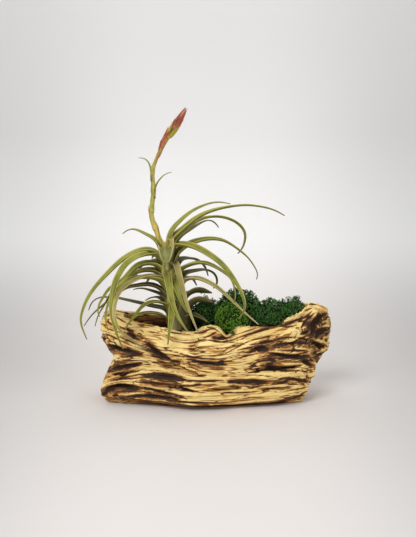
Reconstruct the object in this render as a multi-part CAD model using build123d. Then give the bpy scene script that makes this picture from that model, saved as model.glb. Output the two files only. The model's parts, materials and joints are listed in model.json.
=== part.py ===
from build123d import *
import math
import os

# Driving dimensions, in millimetres
left_reach = 110.0        # origin to the far left of the log
right_reach = 133.5       # origin to the far right of the log
log_height = 104.0        # resting face to the tallest horn
front_depth = 46.0        # origin to the deepest point of the front face
back_depth = 43.0         # origin to the deepest point of the back face
base_sink = 5.0           # how much of the rounded underside the flat rest takes away
flute_depth = 1.7         # height of the grain ridges round the log
end_hollow = 10.0         # how far the broken ends are eaten in
mouth_set_back = 28.5     # how far the front of the right end breaks off short of the back

left_wall = 30.0          # trough to the far left of the log
right_wall = 35.5         # trough to the far right of the log
trough_front = 17.5       # origin to the front wall of the trough
trough_back = 21.0        # origin to the back wall of the trough
trough_depth = 37.4       # rim at the plant's end to the floor of the trough
trough_draft = 7.0        # how far the trough walls lean back over the trough's depth
trough_wave = 1.6         # unevenness of the trough wall

moss_height = 15.0        # thickness of the moss bed
clump_radius = 14.0       # half width of a typical clump of moss

stem_x = -23.0            # foot of the plant's stem on the trough floor
stem_y = 4.0
stem_lean = 19.0          # how far the crown hangs over to the left
stem_length = 110.0
stem_foot_radius = 13.2
stem_crown_radius = 6.8
leaf_reach = 100.0        # the length that every leaf's own shares refer to
leaf_half_width = 5.6     # of an average leaf, at its sheath
leaf_tip_half_width = 0.5
leaf_thickness = 1.7
leaf_tip_thickness = 0.6

scape_height = 110.0      # crown to the foot of the flower
scape_foot_radius = 2.9
scape_top_radius = 1.9
flower_length = 31.0
flower_half_width = 4.2
flower_half_thickness = 3.0

clearance = 0.3           # between the plant and anything in the planter
overrun = 30.0            # what a cutter has beyond the surface that it opens
plant_rim_share = 0.86    # height of that rim
canoe_rise = 4 * flute_depth   # how far the cutters of hollows and grooves stand out of the face
trough_left = left_reach - left_wall
trough_right = right_reach - right_wall
trough_floor = log_height * plant_rim_share - trough_depth

# Outline of both ends: share of the height, share of that end's reach
left_end_shares = [
    (0.00, 0.93), (0.06, 0.99), (0.13, 1.00), (0.19, 0.985), (0.28, 0.945), (0.38, 0.885), (0.46, 0.84),
    (0.55, 0.875), (0.61, 0.925), (0.70, 0.965), (0.80, 0.985), (0.90, 0.965), (1.00, 0.945),
]
right_end_shares = [
    (0.00, 0.755), (0.09, 0.79), (0.17, 0.815), (0.24, 0.84), (0.29, 0.895), (0.37, 0.90), (0.43, 0.955),
    (0.50, 1.00), (0.60, 0.985), (0.68, 1.00), (0.78, 0.995), (0.88, 0.965), (1.00, 0.915),
]

# The log from left to right: share of the length, front depth, back depth, front rim, back rim
log_shares = [
    (0.00, 0.38, 0.46, 0.83, 0.90), (0.04, 0.48, 0.60, 0.86, 0.93), (0.09, 0.55, 0.68, 0.87, 0.93),
    (0.15, 0.62, 0.77, 0.86, 0.89), (0.24, 0.72, 0.88, 0.855, 0.84), (0.31, 0.82, 0.95, 0.83, 0.82),
    (0.37, 0.92, 0.98, 0.78, 0.82), (0.42, 0.97, 1.00, 0.76, 0.81), (0.46, 1.00, 1.00, 0.84, 0.80),
    (0.51, 1.00, 1.00, 0.87, 0.80), (0.54, 0.99, 1.00, 0.84, 0.81), (0.57, 0.97, 0.98, 0.83, 0.82),
    (0.63, 0.90, 0.95, 0.83, 0.84), (0.70, 0.82, 0.90, 0.825, 0.85), (0.77, 0.74, 0.84, 0.815, 0.86),
    (0.82, 0.70, 0.82, 0.83, 0.88), (0.87, 0.64, 0.78, 0.93, 0.96), (0.92, 0.56, 0.72, 0.99, 1.00),
    (0.96, 0.47, 0.64, 0.98, 0.99), (1.00, 0.34, 0.50, 0.92, 0.95),
]
squareness_share = 0.72   # below 1 the log's section is fuller than an ellipse
ring_steps = 40
log_stations = 26
# The mouth of the right end: share of the height, share of the front's full set-back
mouth_shares = [(0.0, 0.0), (0.30, 0.15), (0.42, 0.55), (0.52, 0.85), (0.62, 1.0), (0.95, 1.0), (1.0, 0.9)]
end_core_share = 0.5      # size of the eaten core of a broken end
splinter_share = 0.35     # unevenness of its depth
core_wave_share = 0.18    # unevenness of its outline

# Broad weathered hollows: from and to as shares of the length and height, then the half width and
# depth as shares of the height. The last value bows the middle up or down.
front_hollow_shares = [
    (0.20, 0.26, 0.46, 0.21, 0.046, 0.06, 0.01), (0.17, 0.47, 0.45, 0.38, 0.055, 0.06, 0.01),
    (0.01, 0.29, 0.16, 0.38, 0.040, 0.07, 0.00), (0.46, 0.22, 0.68, 0.23, 0.042, 0.06, 0.01),
    (0.64, 0.42, 0.97, 0.42, 0.050, 0.07, -0.02), (0.72, 0.20, 0.94, 0.16, 0.030, 0.06, 0.02),
    (0.54, 0.58, 0.70, 0.69, 0.034, 0.04, 0.02),
]
back_hollow_shares = [
    (0.06, 0.24, 0.36, 0.15, 0.055, 0.09, 0.02), (0.10, 0.50, 0.40, 0.42, 0.050, 0.08, -0.02),
    (0.40, 0.34, 0.70, 0.28, 0.056, 0.10, 0.03), (0.48, 0.62, 0.76, 0.54, 0.040, 0.06, 0.03),
    (0.66, 0.15, 0.92, 0.30, 0.050, 0.09, -0.02), (0.78, 0.56, 0.97, 0.46, 0.050, 0.08, 0.00),
]

# Grooves of the grain: their line as shares of the length and height, then the half width and depth
# as shares of the height
front_groove_shares = [
    ([(0.205, 0.68), (0.234, 0.638), (0.253, 0.578), (0.290, 0.525)], 0.036, 0.046),
    ([(0.00, 0.63), (0.035, 0.605), (0.088, 0.584), (0.135, 0.56)], 0.032, 0.040),
    ([(0.00, 0.35), (0.033, 0.384), (0.084, 0.421), (0.145, 0.456)], 0.036, 0.030),
    ([(0.165, 0.333), (0.243, 0.335), (0.311, 0.334), (0.395, 0.331)], 0.030, 0.032),
    ([(0.55, 0.337), (0.675, 0.300), (0.741, 0.292), (0.825, 0.294)], 0.024, 0.027),
    ([(0.00, 0.10), (0.045, 0.182), (0.085, 0.215), (0.137, 0.209), (0.215, 0.193)], 0.034, 0.046),
    ([(0.165, 0.208), (0.246, 0.198), (0.336, 0.176), (0.435, 0.127)], 0.022, 0.027),
    ([(0.375, 0.539), (0.458, 0.514), (0.500, 0.503), (0.575, 0.489)], 0.026, 0.025),
    ([(0.685, 0.597), (0.733, 0.627), (0.762, 0.627), (0.812, 0.594)], 0.034, 0.036),
    ([(0.795, 0.635), (0.880, 0.655), (0.935, 0.655), (1.000, 0.627)], 0.020, 0.030),
    ([(0.775, 0.587), (0.833, 0.554), (0.885, 0.525), (0.950, 0.508), (1.000, 0.503)], 0.030, 0.042),
    ([(0.630, 0.715), (0.690, 0.738), (0.740, 0.752), (0.800, 0.765)], 0.018, 0.022),
    ([(0.940, 0.735), (0.970, 0.735), (1.000, 0.750)], 0.034, 0.040),
]
back_groove_shares = [
    ([(0.04, 0.62), (0.14, 0.66), (0.24, 0.60), (0.33, 0.62)], 0.030, 0.040),
    ([(0.00, 0.36), (0.12, 0.33), (0.22, 0.35), (0.34, 0.30)], 0.028, 0.034),
    ([(0.30, 0.50), (0.42, 0.54), (0.54, 0.50), (0.62, 0.46)], 0.032, 0.038),
    ([(0.24, 0.16), (0.38, 0.20), (0.52, 0.17), (0.66, 0.14)], 0.030, 0.034),
    ([(0.60, 0.38), (0.70, 0.42), (0.82, 0.38), (1.00, 0.35)], 0.028, 0.036),
    ([(0.72, 0.64), (0.84, 0.68), (0.92, 0.66), (1.00, 0.70)], 0.030, 0.036),
]
hollow_steps = 7
groove_steps = 5
hollow_fullness = 0.6     # below 1 a hollow keeps its width further towards its ends

side_lean_share = 0.6     # lean of the trough's long sides against its ends
trough_end_power = 0.62   # below 1 the trough's outline is fuller than an ellipse
trough_side_power = 0.7

# Moss clumps: x and y as shares of the trough's right end and back wall, then width and depth as
# shares of a typical clump, and the top as a share of the way from the trough's floor to the horn
clump_shares = {
    "moss_clump_front": (0.27, -0.66, 1.10, 0.98, 1.06),
    "moss_clump_back": (0.34, 0.34, 1.75, 1.30, 1.23),
    "moss_clump_middle": (0.67, -0.06, 1.45, 1.40, 1.07),
    "moss_clump_right": (0.92, 0.10, 1.20, 1.22, 1.09),
    "moss_clump_stem": (0.00, 0.70, 1.20, 0.90, 1.04),
    "moss_clump_low": (0.03, -0.40, 0.85, 0.90, 0.60),
}

# A clump from its foot up: share of its height, share of its width
clump_knob_share = 0.13
clump_rise_share = 0.05
clump_profile_shares = [(0.0, 0.88), (0.3, 1.0), (0.58, 0.97), (0.8, 0.78), (0.94, 0.45)]

# Leaves: heading at the root and at the tip in degrees, root as a share of the stem, width as a
# share, then the midrib's points, each a share of the leaf's reach outward and upward
leaf_shares = {
    "leaf_right_01": (8, 8, 0.97, 1.30, [(0.09, 0.11), (0.16, 0.18), (0.30, 0.30), (0.45, 0.38),
                                         (0.65, 0.43), (0.82, 0.445), (1.00, 0.425), (1.15, 0.38),
                                         (1.24, 0.33)]),
    "leaf_right_02": (42, 38, 1.00, 0.60, [(0.04, 0.14), (0.12, 0.25), (0.28, 0.33), (0.49, 0.39),
                                           (0.68, 0.40), (0.86, 0.37)]),
    "leaf_right_03": (25, 25, 0.93, 0.95, [(0.11, 0.14), (0.20, 0.21), (0.32, 0.30), (0.44, 0.345),
                                           (0.57, 0.35), (0.70, 0.32), (0.84, 0.24), (0.90, 0.15),
                                           (0.90, 0.07), (0.86, -0.02), (0.82, -0.06)]),
    "leaf_right_04": (18, 18, 0.82, 0.95, [(0.10, 0.11), (0.18, 0.18), (0.30, 0.23), (0.46, 0.25),
                                           (0.61, 0.22), (0.74, 0.14), (0.87, 0.03), (0.95, -0.08),
                                           (0.98, -0.16), (0.97, -0.21)]),
    "leaf_right_05": (-24, -40, 0.91, 1.00, [(0.10, 0.11), (0.21, 0.13), (0.33, 0.115), (0.49, 0.06),
                                             (0.63, -0.01), (0.73, -0.08), (0.81, -0.15),
                                             (0.89, -0.23), (0.95, -0.31), (0.98, -0.39),
                                             (0.97, -0.45), (0.95, -0.49)]),
    "leaf_right_06": (-20, -30, 0.66, 0.95, [(0.12, 0.14), (0.22, 0.20), (0.35, 0.23), (0.47, 0.21),
                                             (0.59, 0.16), (0.68, 0.10), (0.72, 0.02), (0.74, -0.05),
                                             (0.74, -0.11)]),
    "leaf_right_07": (-22, -36, 0.56, 0.85, [(0.13, 0.13), (0.25, 0.175), (0.37, 0.16), (0.51, 0.11),
                                             (0.65, 0.03), (0.79, -0.05), (0.91, -0.11),
                                             (1.05, -0.17)]),
    "leaf_right_08": (52, 50, 0.74, 0.95, [(0.14, 0.10), (0.29, 0.12), (0.45, 0.07), (0.56, -0.02),
                                           (0.61, -0.12)]),
    "leaf_right_09": (34, 32, 0.62, 0.95, [(0.14, 0.10), (0.28, 0.13), (0.40, 0.13), (0.48, 0.10),
                                           (0.54, 0.03), (0.54, -0.04), (0.50, -0.08)]),
    "leaf_right_10": (8, 8, 0.44, 0.95, [(0.12, 0.08), (0.19, 0.13), (0.28, 0.14), (0.38, 0.12)]),
    "leaf_right_11": (-6, -10, 0.34, 1.10, [(0.12, 0.10), (0.19, 0.15), (0.29, 0.17), (0.37, 0.16)]),
    "leaf_right_12": (-36, -36, 0.28, 0.60, [(0.08, 0.06), (0.16, 0.09), (0.25, 0.09), (0.33, 0.07),
                                             (0.37, 0.055)]),
    "leaf_left_01": (162, 166, 0.98, 0.75, [(0.11, 0.08), (0.21, 0.14), (0.30, 0.18), (0.36, 0.19),
                                            (0.42, 0.17), (0.46, 0.14)]),
    "leaf_left_02": (188, 205, 0.85, 1.10, [(0.13, 0.10), (0.23, 0.13), (0.36, 0.10), (0.49, 0.03),
                                            (0.60, -0.06), (0.74, -0.19), (0.84, -0.31), (0.90, -0.42),
                                            (0.93, -0.52), (0.91, -0.64), (0.89, -0.71)]),
    "leaf_left_03": (215, 238, 0.82, 0.90, [(0.17, 0.13), (0.28, 0.15), (0.41, 0.14), (0.55, 0.09),
                                            (0.65, 0.02), (0.74, -0.07), (0.81, -0.20), (0.85, -0.32),
                                            (0.84, -0.47), (0.81, -0.61), (0.79, -0.69)]),
    "leaf_left_04": (196, 204, 0.73, 1.10, [(0.16, 0.11), (0.26, 0.13), (0.34, 0.11), (0.42, 0.05),
                                            (0.52, -0.03), (0.64, -0.09), (0.72, -0.18), (0.77, -0.26),
                                            (0.78, -0.32), (0.77, -0.36)]),
    "leaf_left_05": (178, 182, 0.66, 1.00, [(0.15, 0.10), (0.25, 0.12), (0.35, 0.10), (0.43, 0.05),
                                            (0.52, -0.03), (0.62, -0.11), (0.70, -0.24), (0.76, -0.34),
                                            (0.80, -0.46)]),
    "leaf_left_06": (212, 216, 0.60, 1.00, [(0.18, 0.11), (0.31, 0.15), (0.43, 0.16), (0.52, 0.15),
                                            (0.60, 0.11), (0.67, 0.06), (0.74, -0.02), (0.78, -0.10),
                                            (0.80, -0.21), (0.78, -0.32)]),
    "leaf_left_07": (184, 182, 0.52, 0.90, [(0.16, 0.09), (0.27, 0.13), (0.39, 0.12), (0.49, 0.10),
                                            (0.58, 0.04), (0.66, -0.02), (0.75, -0.09), (0.85, -0.18),
                                            (0.94, -0.30)]),
    "leaf_left_08": (158, 160, 0.30, 0.75, [(0.14, 0.08), (0.26, 0.11), (0.38, 0.125), (0.48, 0.14),
                                            (0.59, 0.155), (0.71, 0.17), (0.81, 0.17), (0.93, 0.15),
                                            (1.01, 0.08), (1.04, 0.01)]),
    "leaf_left_09": (165, 163, 0.50, 0.60, [(0.16, 0.04), (0.27, 0.075), (0.37, 0.09), (0.46, 0.07)]),
    "leaf_left_10": (216, 224, 0.34, 0.80, [(0.14, 0.12), (0.25, 0.18), (0.37, 0.19), (0.48, 0.15),
                                            (0.56, 0.09), (0.65, 0.03), (0.70, -0.01)]),
    "leaf_left_11": (202, 214, 0.24, 0.80, [(0.14, 0.08), (0.30, 0.17), (0.46, 0.18), (0.57, 0.13),
                                            (0.65, 0.05)]),
    "leaf_left_12": (212, 250, 0.64, 0.60, [(0.15, 0.09), (0.27, 0.13), (0.43, 0.13), (0.60, 0.10),
                                            (0.76, 0.04), (0.87, -0.05), (0.94, -0.15), (0.93, -0.26),
                                            (0.84, -0.36), (0.76, -0.44), (0.69, -0.50)]),
    "leaf_front_01": (-52, -58, 0.86, 1.10, [(0.07, 0.04), (0.12, 0.00), (0.18, -0.07), (0.24, -0.17),
                                             (0.32, -0.32), (0.41, -0.44), (0.50, -0.53),
                                             (0.58, -0.60)]),
    "leaf_front_02": (-106, -68, 0.79, 0.90, [(0.08, 0.03), (0.17, -0.08), (0.30, -0.26),
                                              (0.42, -0.41), (0.53, -0.53)]),
    "leaf_front_03": (-92, -97, 0.46, 0.75, [(0.10, 0.05), (0.25, 0.00), (0.38, -0.09), (0.47, -0.20),
                                             (0.50, -0.30)]),
    "leaf_front_04": (-92, -62, 0.70, 0.65, [(0.09, 0.06), (0.19, -0.02), (0.29, -0.15),
                                             (0.38, -0.28)]),
    "leaf_front_05": (-52, -66, 0.99, 0.75, [(0.05, 0.10), (0.12, 0.11), (0.17, 0.04), (0.17, -0.06)]),
    "leaf_front_06": (-100, -97, 0.94, 1.00, [(0.09, 0.07), (0.20, 0.06), (0.30, -0.02),
                                              (0.35, -0.12)]),
    "leaf_back_01": (50, 46, 0.90, 0.60, [(0.08, 0.10), (0.18, 0.17), (0.35, 0.24), (0.53, 0.30),
                                          (0.64, 0.31), (0.71, 0.28), (0.77, 0.22)]),
    "leaf_back_02": (80, 76, 0.84, 1.00, [(0.12, 0.05), (0.28, 0.05), (0.44, -0.04), (0.58, -0.20),
                                          (0.66, -0.38)]),
    "leaf_back_03": (98, 95, 0.94, 0.90, [(0.10, 0.05), (0.25, 0.06), (0.42, -0.02), (0.58, -0.18),
                                          (0.68, -0.38)]),
    "leaf_back_04": (112, 108, 0.72, 1.00, [(0.12, 0.07), (0.27, 0.09), (0.42, 0.02), (0.54, -0.12),
                                            (0.60, -0.28)]),
    "leaf_back_05": (120, 116, 0.86, 0.95, [(0.10, 0.05), (0.25, 0.05), (0.42, -0.04), (0.56, -0.20),
                                            (0.64, -0.38)]),
    "leaf_back_06": (136, 132, 0.76, 1.00, [(0.11, 0.06), (0.26, 0.08), (0.42, 0.02), (0.56, -0.12),
                                            (0.64, -0.28)]),
    "leaf_back_07": (66, 64, 0.56, 0.90, [(0.13, 0.08), (0.28, 0.11), (0.42, 0.07), (0.53, -0.03),
                                          (0.58, -0.15)]),
    "leaf_back_08": (100, 97, 0.52, 0.90, [(0.13, 0.08), (0.28, 0.11), (0.42, 0.07), (0.53, -0.04)]),
    "leaf_back_09": (128, 124, 0.60, 0.95, [(0.13, 0.08), (0.29, 0.10), (0.44, 0.04), (0.56, -0.08),
                                            (0.62, -0.22)]),
    "leaf_back_10": (88, 85, 0.36, 0.80, [(0.12, 0.08), (0.25, 0.12), (0.37, 0.11), (0.46, 0.06)]),
    "leaf_back_11": (56, 54, 0.42, 0.80, [(0.12, 0.08), (0.25, 0.11), (0.37, 0.10), (0.45, 0.06)]),
    "leaf_back_12": (138, 138, 0.34, 0.80, [(0.12, 0.09), (0.26, 0.14), (0.38, 0.13), (0.48, 0.08)]),
}
# A leaf's cross-section: sideways as a share of the half width, then up as a share of the trough
# that its edges make, then down as a share of the thickness
leaf_section_shares = [
    (-1.00, 1.00, 0.00), (-0.55, 0.30, 0.85), (0.00, 0.00, 1.00), (0.55, 0.30, 0.85),
    (1.00, 1.00, 0.00), (0.00, 0.00, 0.00),
]
# The stem's thickness: share of its length, share of the way from crown radius to foot radius
stem_shares = [(0.0, 1.0), (0.16, 0.98), (0.32, 0.80), (0.48, 0.46), (0.72, 0.26), (1.0, 0.0)]
leaf_fold_share = 0.75    # height of a leaf's edges over its midrib, against its half width
leaf_steps = 10
clasp_share = 0.20        # leaves this close along the stem may clasp each other

# The flower stalk from the crown: sideways, back and up as shares of its height
scape_shares = [(0.0, 0.0, 0.0), (-0.046, 0.0, 0.057), (-0.083, 0.005, 0.164), (-0.112, 0.011, 0.25),
                (-0.122, 0.018, 0.37), (-0.108, 0.023, 0.48), (-0.104, 0.023, 0.60), (-0.108, 0.018, 0.71),
                (-0.079, 0.014, 0.80), (-0.038, 0.009, 0.89), (0.008, 0.004, 0.97), (0.029, 0.0, 1.0)]
scape_leaf_shares = {
    "scape_leaf_left": (180, 0.68, [(0.03, 0.07), (0.07, 0.12), (0.13, 0.13)]),
    "scape_leaf_right": (0, 0.54, [(0.03, 0.04), (0.06, 0.09), (0.10, 0.13), (0.17, 0.16)]),
}
scape_leaf_width_share = 0.45
flower_lean_share = 0.63  # sideways reach of the upper flower against its height
flower_bud_share = 0.72   # the lower flower's length against the upper one's
bud_lean_share = 0.42     # its sideways reach against its height
bud_width_share = 0.62
bud_root_share = 0.90     # where on the stalk it sits
flower_swell_shares = [0.55, 0.95, 0.78, 1.00, 0.72, 0.86, 0.52, 0.48]


def between(start, end, share):
    return start + (end - start) * share


def look_up(table, place, column=1):
    """Value of one column of a table at a place, in straight lines between its rows."""
    for low, high in zip(table, table[1:]):
        if place <= high[0]:
            share = max(0.0, (place - low[0]) / (high[0] - low[0]))
            return between(low[column], high[column], share)
    return table[-1][column]


def facet_loft(rings):
    """Closed solid of flat facets through rings of points. A ring of one point is a tip."""
    sides = max(len(ring) for ring in rings)
    faces = []
    for low, high in zip(rings, rings[1:]):
        for side in range(sides):
            corner = (side + 1) % sides
            if len(low) == 1:
                faces.append(Face(Wire.make_polygon([low[0], high[corner], high[side]])))
            elif len(high) == 1:
                faces.append(Face(Wire.make_polygon([low[side], low[corner], high[0]])))
            else:
                faces.append(Face(Wire.make_polygon([low[side], low[corner], high[corner]])))
                faces.append(Face(Wire.make_polygon([low[side], high[corner], high[side]])))
    if len(rings[0]) > 1:
        faces.append(Face(Wire.make_polygon(rings[0][::-1])))
    if len(rings[-1]) > 1:
        faces.append(Face(Wire.make_polygon(rings[-1])))
    solid = Solid(Shell(faces))
    return solid if solid.volume > 0 else Solid(solid.wrapped.Reversed())


def largest(shape):
    return max(shape.solids(), key=lambda solid: solid.volume)


def squared(value, power):
    return math.copysign(abs(value) ** power, value)


def log_place(share, height, front_share=0.0):
    """Where along x a point of the log lies. The front of the right end is broken off short."""
    height_share = height / log_height
    left = -left_reach * look_up(left_end_shares, height_share)
    right = right_reach * look_up(right_end_shares, height_share)
    right -= mouth_set_back * front_share * look_up(mouth_shares, height_share)
    return between(left, right, share)


def grain_ridge(share, angle):
    """Ridges that run along the grain and drift round the log on their way, about -2 to 2."""
    drift = 1.6 * math.sin(3.1 * share) + 0.5 * math.sin(9 * share)
    return math.sin(7 * angle + drift) + 0.8 * math.sin(11 * angle - 2 * drift)


def log_ring(share):
    front = front_depth * look_up(log_shares, share, 1)
    back = back_depth * look_up(log_shares, share, 2)
    front_rim = log_height * look_up(log_shares, share, 3)
    back_rim = log_height * look_up(log_shares, share, 4)
    ring = []
    for step in range(ring_steps):
        angle = 2 * math.pi * step / ring_steps
        across = squared(math.cos(angle), squareness_share)
        upward = squared(math.sin(angle), squareness_share)
        rim = between(front_rim, back_rim, (across + 1) / 2)
        ridge = grain_ridge(share, angle)
        y = (back if across > 0 else front) * across + flute_depth * ridge * math.cos(angle)
        middle = (rim - base_sink) / 2
        z = middle + (rim + base_sink) / 2 * upward + flute_depth * ridge * math.sin(angle)
        ring.append((log_place(share, max(z, 0.0), max(0.0, -across)), y, z))
    return ring


def end_core(ring, inward):
    """The splintered hollow of a broken end: a smaller ring set inward, then its bottom."""
    middle = sum((Vector(*point) for point in ring), Vector()) / len(ring)
    core = []
    for step, point in enumerate(ring):
        angle = 2 * math.pi * step / ring_steps
        deep = inward * end_hollow * (1 - splinter_share * (1 + math.sin(6 * angle)))
        spread = end_core_share * (1 + core_wave_share * math.sin(5 * angle))
        core.append(middle + (Vector(*point) - middle) * spread + Vector(deep, 0, 0))
    return [core, [middle + Vector(inward * end_hollow, 0, 0)]]


def face_place(share, height, side):
    """A place on the log's front face, with side -1, or on its back face, with side 1."""
    column = 1 if side < 0 else 2
    rim = log_height * look_up(log_shares, share, column + 2)
    depth = (front_depth if side < 0 else back_depth) * look_up(log_shares, share, column)
    upward = max(-1.0, min(1.0, (2 * height + base_sink - rim) / (rim + base_sink)))
    angle = math.asin(squared(upward, 1 / squareness_share))
    across = math.cos(angle) ** squareness_share
    turn = math.pi - angle if side < 0 else angle
    y = side * depth * across + flute_depth * grain_ridge(share, turn) * math.cos(turn)
    return Vector(log_place(share, height, across if side < 0 else 0.0), y, height)


def canoe(line, half_width, depth, side):
    """A canoe-shaped cutter along a line of (share, height) on the log's face, pointed at both ends.
    Side is -1 for the front and 1 for the back."""
    rings = []
    last = len(line) - 1
    for step, (share, height) in enumerate(line):
        swell = max(0.0, math.sin(math.pi * step / last)) ** hollow_fullness
        centre = face_place(share, height, side)
        if step in (0, last):
            rings.append([centre])
            continue
        half = half_width * swell
        deep = depth * swell
        offsets = [(side * canoe_rise, half), (-side * deep, half / 3), (-side * deep, -half / 3),
                   (side * canoe_rise, -half)]
        rings.append([centre + Vector(0, out, up) for out, up in offsets])
    return facet_loft(rings)


def hollow(row, side):
    from_share, from_height, to_share, to_height, width_share, depth_share, bow_share = row
    line = []
    for step in range(hollow_steps + 1):
        run = step / hollow_steps
        height = between(from_height, to_height, run) + bow_share * math.sin(math.pi * run)
        line.append((between(from_share, to_share, run), log_height * height))
    return canoe(line, log_height * width_share, log_height * depth_share, side)


def groove(corner_shares, width_share, depth_share, side):
    line = []
    for step in range(groove_steps + 1):
        place = step / groove_steps * (len(corner_shares) - 1)
        first = min(int(place), len(corner_shares) - 2)
        low, high = corner_shares[first], corner_shares[first + 1]
        line.append((between(low[0], high[0], place - first),
                     log_height * between(low[1], high[1], place - first)))
    return canoe(line, log_height * width_share, log_height * depth_share, side)


def trough_ring(height):
    """The trough's outline at a height, wider towards its mouth."""
    lean = trough_draft * (height - trough_floor) / (log_height - trough_floor)
    middle = (trough_right - trough_left) / 2
    half_length = (trough_right + trough_left) / 2 + lean
    steps = 24
    ring = []
    for step in range(steps):
        angle = 2 * math.pi * step / steps
        x = middle + half_length * squared(math.cos(angle), trough_end_power)
        reach = trough_back if math.sin(angle) > 0 else trough_front
        wave = trough_wave * math.sin(5 * angle + 1)
        y = (reach + lean * side_lean_share) * squared(math.sin(angle), trough_side_power)
        y += wave * abs(math.sin(angle))
        ring.append((x, y, height))
    return ring


def moss_clump(x_share, y_share, width_share, depth_share, top_share, turn):
    """A knobbly dome of moss, narrow at its foot."""
    x = trough_right * x_share
    y = trough_back * y_share
    foot = trough_floor + moss_height / 2
    tall = between(trough_floor, log_height, top_share) - foot
    steps = 12
    rings = []
    for level_share, spread_share in clump_profile_shares:
        ring = []
        for step in range(steps):
            angle = 2 * math.pi * step / steps
            knob = 1 + clump_knob_share * math.sin(4 * angle + turn + 5 * level_share)
            reach = clump_radius * spread_share * knob
            rise = clump_rise_share * math.sin(3 * angle + turn) if 0 < level_share else 0.0
            ring.append((x + reach * width_share * math.cos(angle),
                         y + reach * depth_share * math.sin(angle),
                         foot + tall * (level_share + rise)))
        rings.append(ring)
    rings.append([(x, y, foot + tall)])
    return facet_loft(rings)


def round_ring(centre, radius, steps=10):
    return [centre + Vector(radius * math.cos(2 * math.pi * step / steps),
                            radius * math.sin(2 * math.pi * step / steps), 0) for step in range(steps)]


def stem_point(share):
    lean = stem_lean * share
    return Vector(stem_x - lean, stem_y, trough_floor + stem_length * share)


def leaf(root, headings, half_width, points, reach, thickness):
    """A channelled leaf that tapers to a tip, along a midrib in its own upright plane."""
    midrib = [root]
    for number, (out_share, up_share) in enumerate(points, 1):
        heading = math.radians(between(headings[0], headings[1], number / len(points)))
        out = reach * out_share
        midrib.append(root + Vector(out * math.cos(heading), out * math.sin(heading), reach * up_share))
    path = Spline(*midrib)
    rings = []
    for step in range(leaf_steps):
        run = step / leaf_steps
        heading = math.radians(between(headings[0], headings[1], run))
        along = path % run
        side = Vector(-math.sin(heading), math.cos(heading), 0)
        side = (side - along * side.dot(along)).normalized()
        upper = along.cross(side)
        width = between(leaf_tip_half_width, half_width, (1 - run) ** 0.8)
        thick = between(leaf_tip_thickness, thickness, 1 - run)
        fold = width * leaf_fold_share
        rings.append([(path @ run) + side * (width * across) + upper * (fold * raised - thick * below)
                      for across, raised, below in leaf_section_shares])
    rings.append([path @ 1])
    return facet_loft(rings)


def flower(foot, lean, height, half_width, half_thickness, steps=8):
    """A flat flower head of bracts in two ranks, from its foot to its tip."""
    along = Vector(lean, 0, height)
    side = Vector(height, 0, -lean).normalized()
    rings = []
    for number, swell_share in enumerate(flower_swell_shares):
        centre = foot + along * (number / len(flower_swell_shares))
        sway = half_width * 0.12 * (-1) ** number
        ring = []
        for step in range(steps):
            angle = 2 * math.pi * step / steps
            wide = half_width * swell_share * math.cos(angle) + sway
            deep = half_thickness * swell_share * math.sin(angle)
            ring.append(centre + side * wide + Vector(0, deep, 0))
        rings.append(ring)
    rings.append([foot + along])
    return facet_loft(rings)


parts = {}

# The cast log: a fluted loft, cut flat at its rest, opened by the trough and weathered in hollows
log_rings = [log_ring(station / log_stations) for station in range(log_stations + 1)]
log = facet_loft(end_core(log_rings[0], 1)[::-1] + log_rings + end_core(log_rings[-1], -1))
below_rest = Pos(0, 0, -overrun / 2) * Box(2 * (left_reach + overrun) + 2 * right_reach,
                                           2 * (front_depth + back_depth), overrun)
trough = facet_loft([trough_ring(trough_floor), trough_ring(between(trough_floor, log_height, 0.5)),
                     trough_ring(log_height), trough_ring(log_height + overrun)])
cutters = [below_rest, trough]
cutters += [hollow(row, -1) for row in front_hollow_shares]
cutters += [hollow(row, 1) for row in back_hollow_shares]
cutters += [groove(*row, -1) for row in front_groove_shares]
cutters += [groove(*row, 1) for row in back_groove_shares]
log = largest(log - cutters)
parts["driftwood_log"] = log

# Moss: a bed that fills the foot of the trough right of the plant, and clumps that stand on it,
# clear of the way that the stem takes when the plant is lifted out
moss_start = stem_x + stem_foot_radius + clearance
bed_length = trough_right + overrun - moss_start
bed_block = (Pos(moss_start + bed_length / 2, 0, trough_floor + moss_height / 2)
             * Box(bed_length, 2 * (front_depth + back_depth), moss_height))
moss_bed = largest(trough & bed_block)
parts["moss_bed"] = moss_bed
stem_room = facet_loft([round_ring(Vector(stem_x, stem_y, height), stem_foot_radius + clearance, 16)
                        for height in (trough_floor, log_height + overrun)])
placed = [log, moss_bed, stem_room]
for number, (name, row) in enumerate(clump_shares.items()):
    clump = largest(moss_clump(*row, 1.7 * number) - placed)
    parts[name] = clump
    placed.append(clump)

# The plant: a leaning stem, its leaves from the crown down, and the flower stalk
stem = facet_loft([round_ring(stem_point(level), between(stem_crown_radius, stem_foot_radius, swell))
                   for level, swell in stem_shares])
parts["plant_stem"] = stem

leaves = {}
for name, (first, last, root_share, width_share, points) in leaf_shares.items():
    blade = leaf(stem_point(root_share), (first, last), leaf_half_width * width_share, points,
                 leaf_reach, leaf_thickness)
    clasped = []
    for other_name, other in leaves.items():
        if abs(root_share - leaf_shares[other_name][2]) < clasp_share:
            clasped.append(other)
    leaves[name] = largest(blade - [stem] - clasped)
parts.update(leaves)

crown = stem_point(1.0)
scape_path = Spline(*[crown + Vector(*share) * scape_height for share in scape_shares])
scape_steps = 9
scape = facet_loft([round_ring(scape_path @ (step / scape_steps),
                               between(scape_foot_radius, scape_top_radius, step / scape_steps), 8)
                    for step in range(scape_steps + 1)])
near_crown = [solid for name, solid in leaves.items() if leaf_shares[name][2] > 1 - clasp_share]
parts["flower_scape"] = largest(scape - near_crown)
for name, (heading, root_share, points) in scape_leaf_shares.items():
    blade = leaf(scape_path @ root_share, (heading, heading), leaf_half_width * scape_leaf_width_share,
                 points, scape_height, leaf_thickness * scape_leaf_width_share)
    parts[name] = largest(blade - scape)

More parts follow.
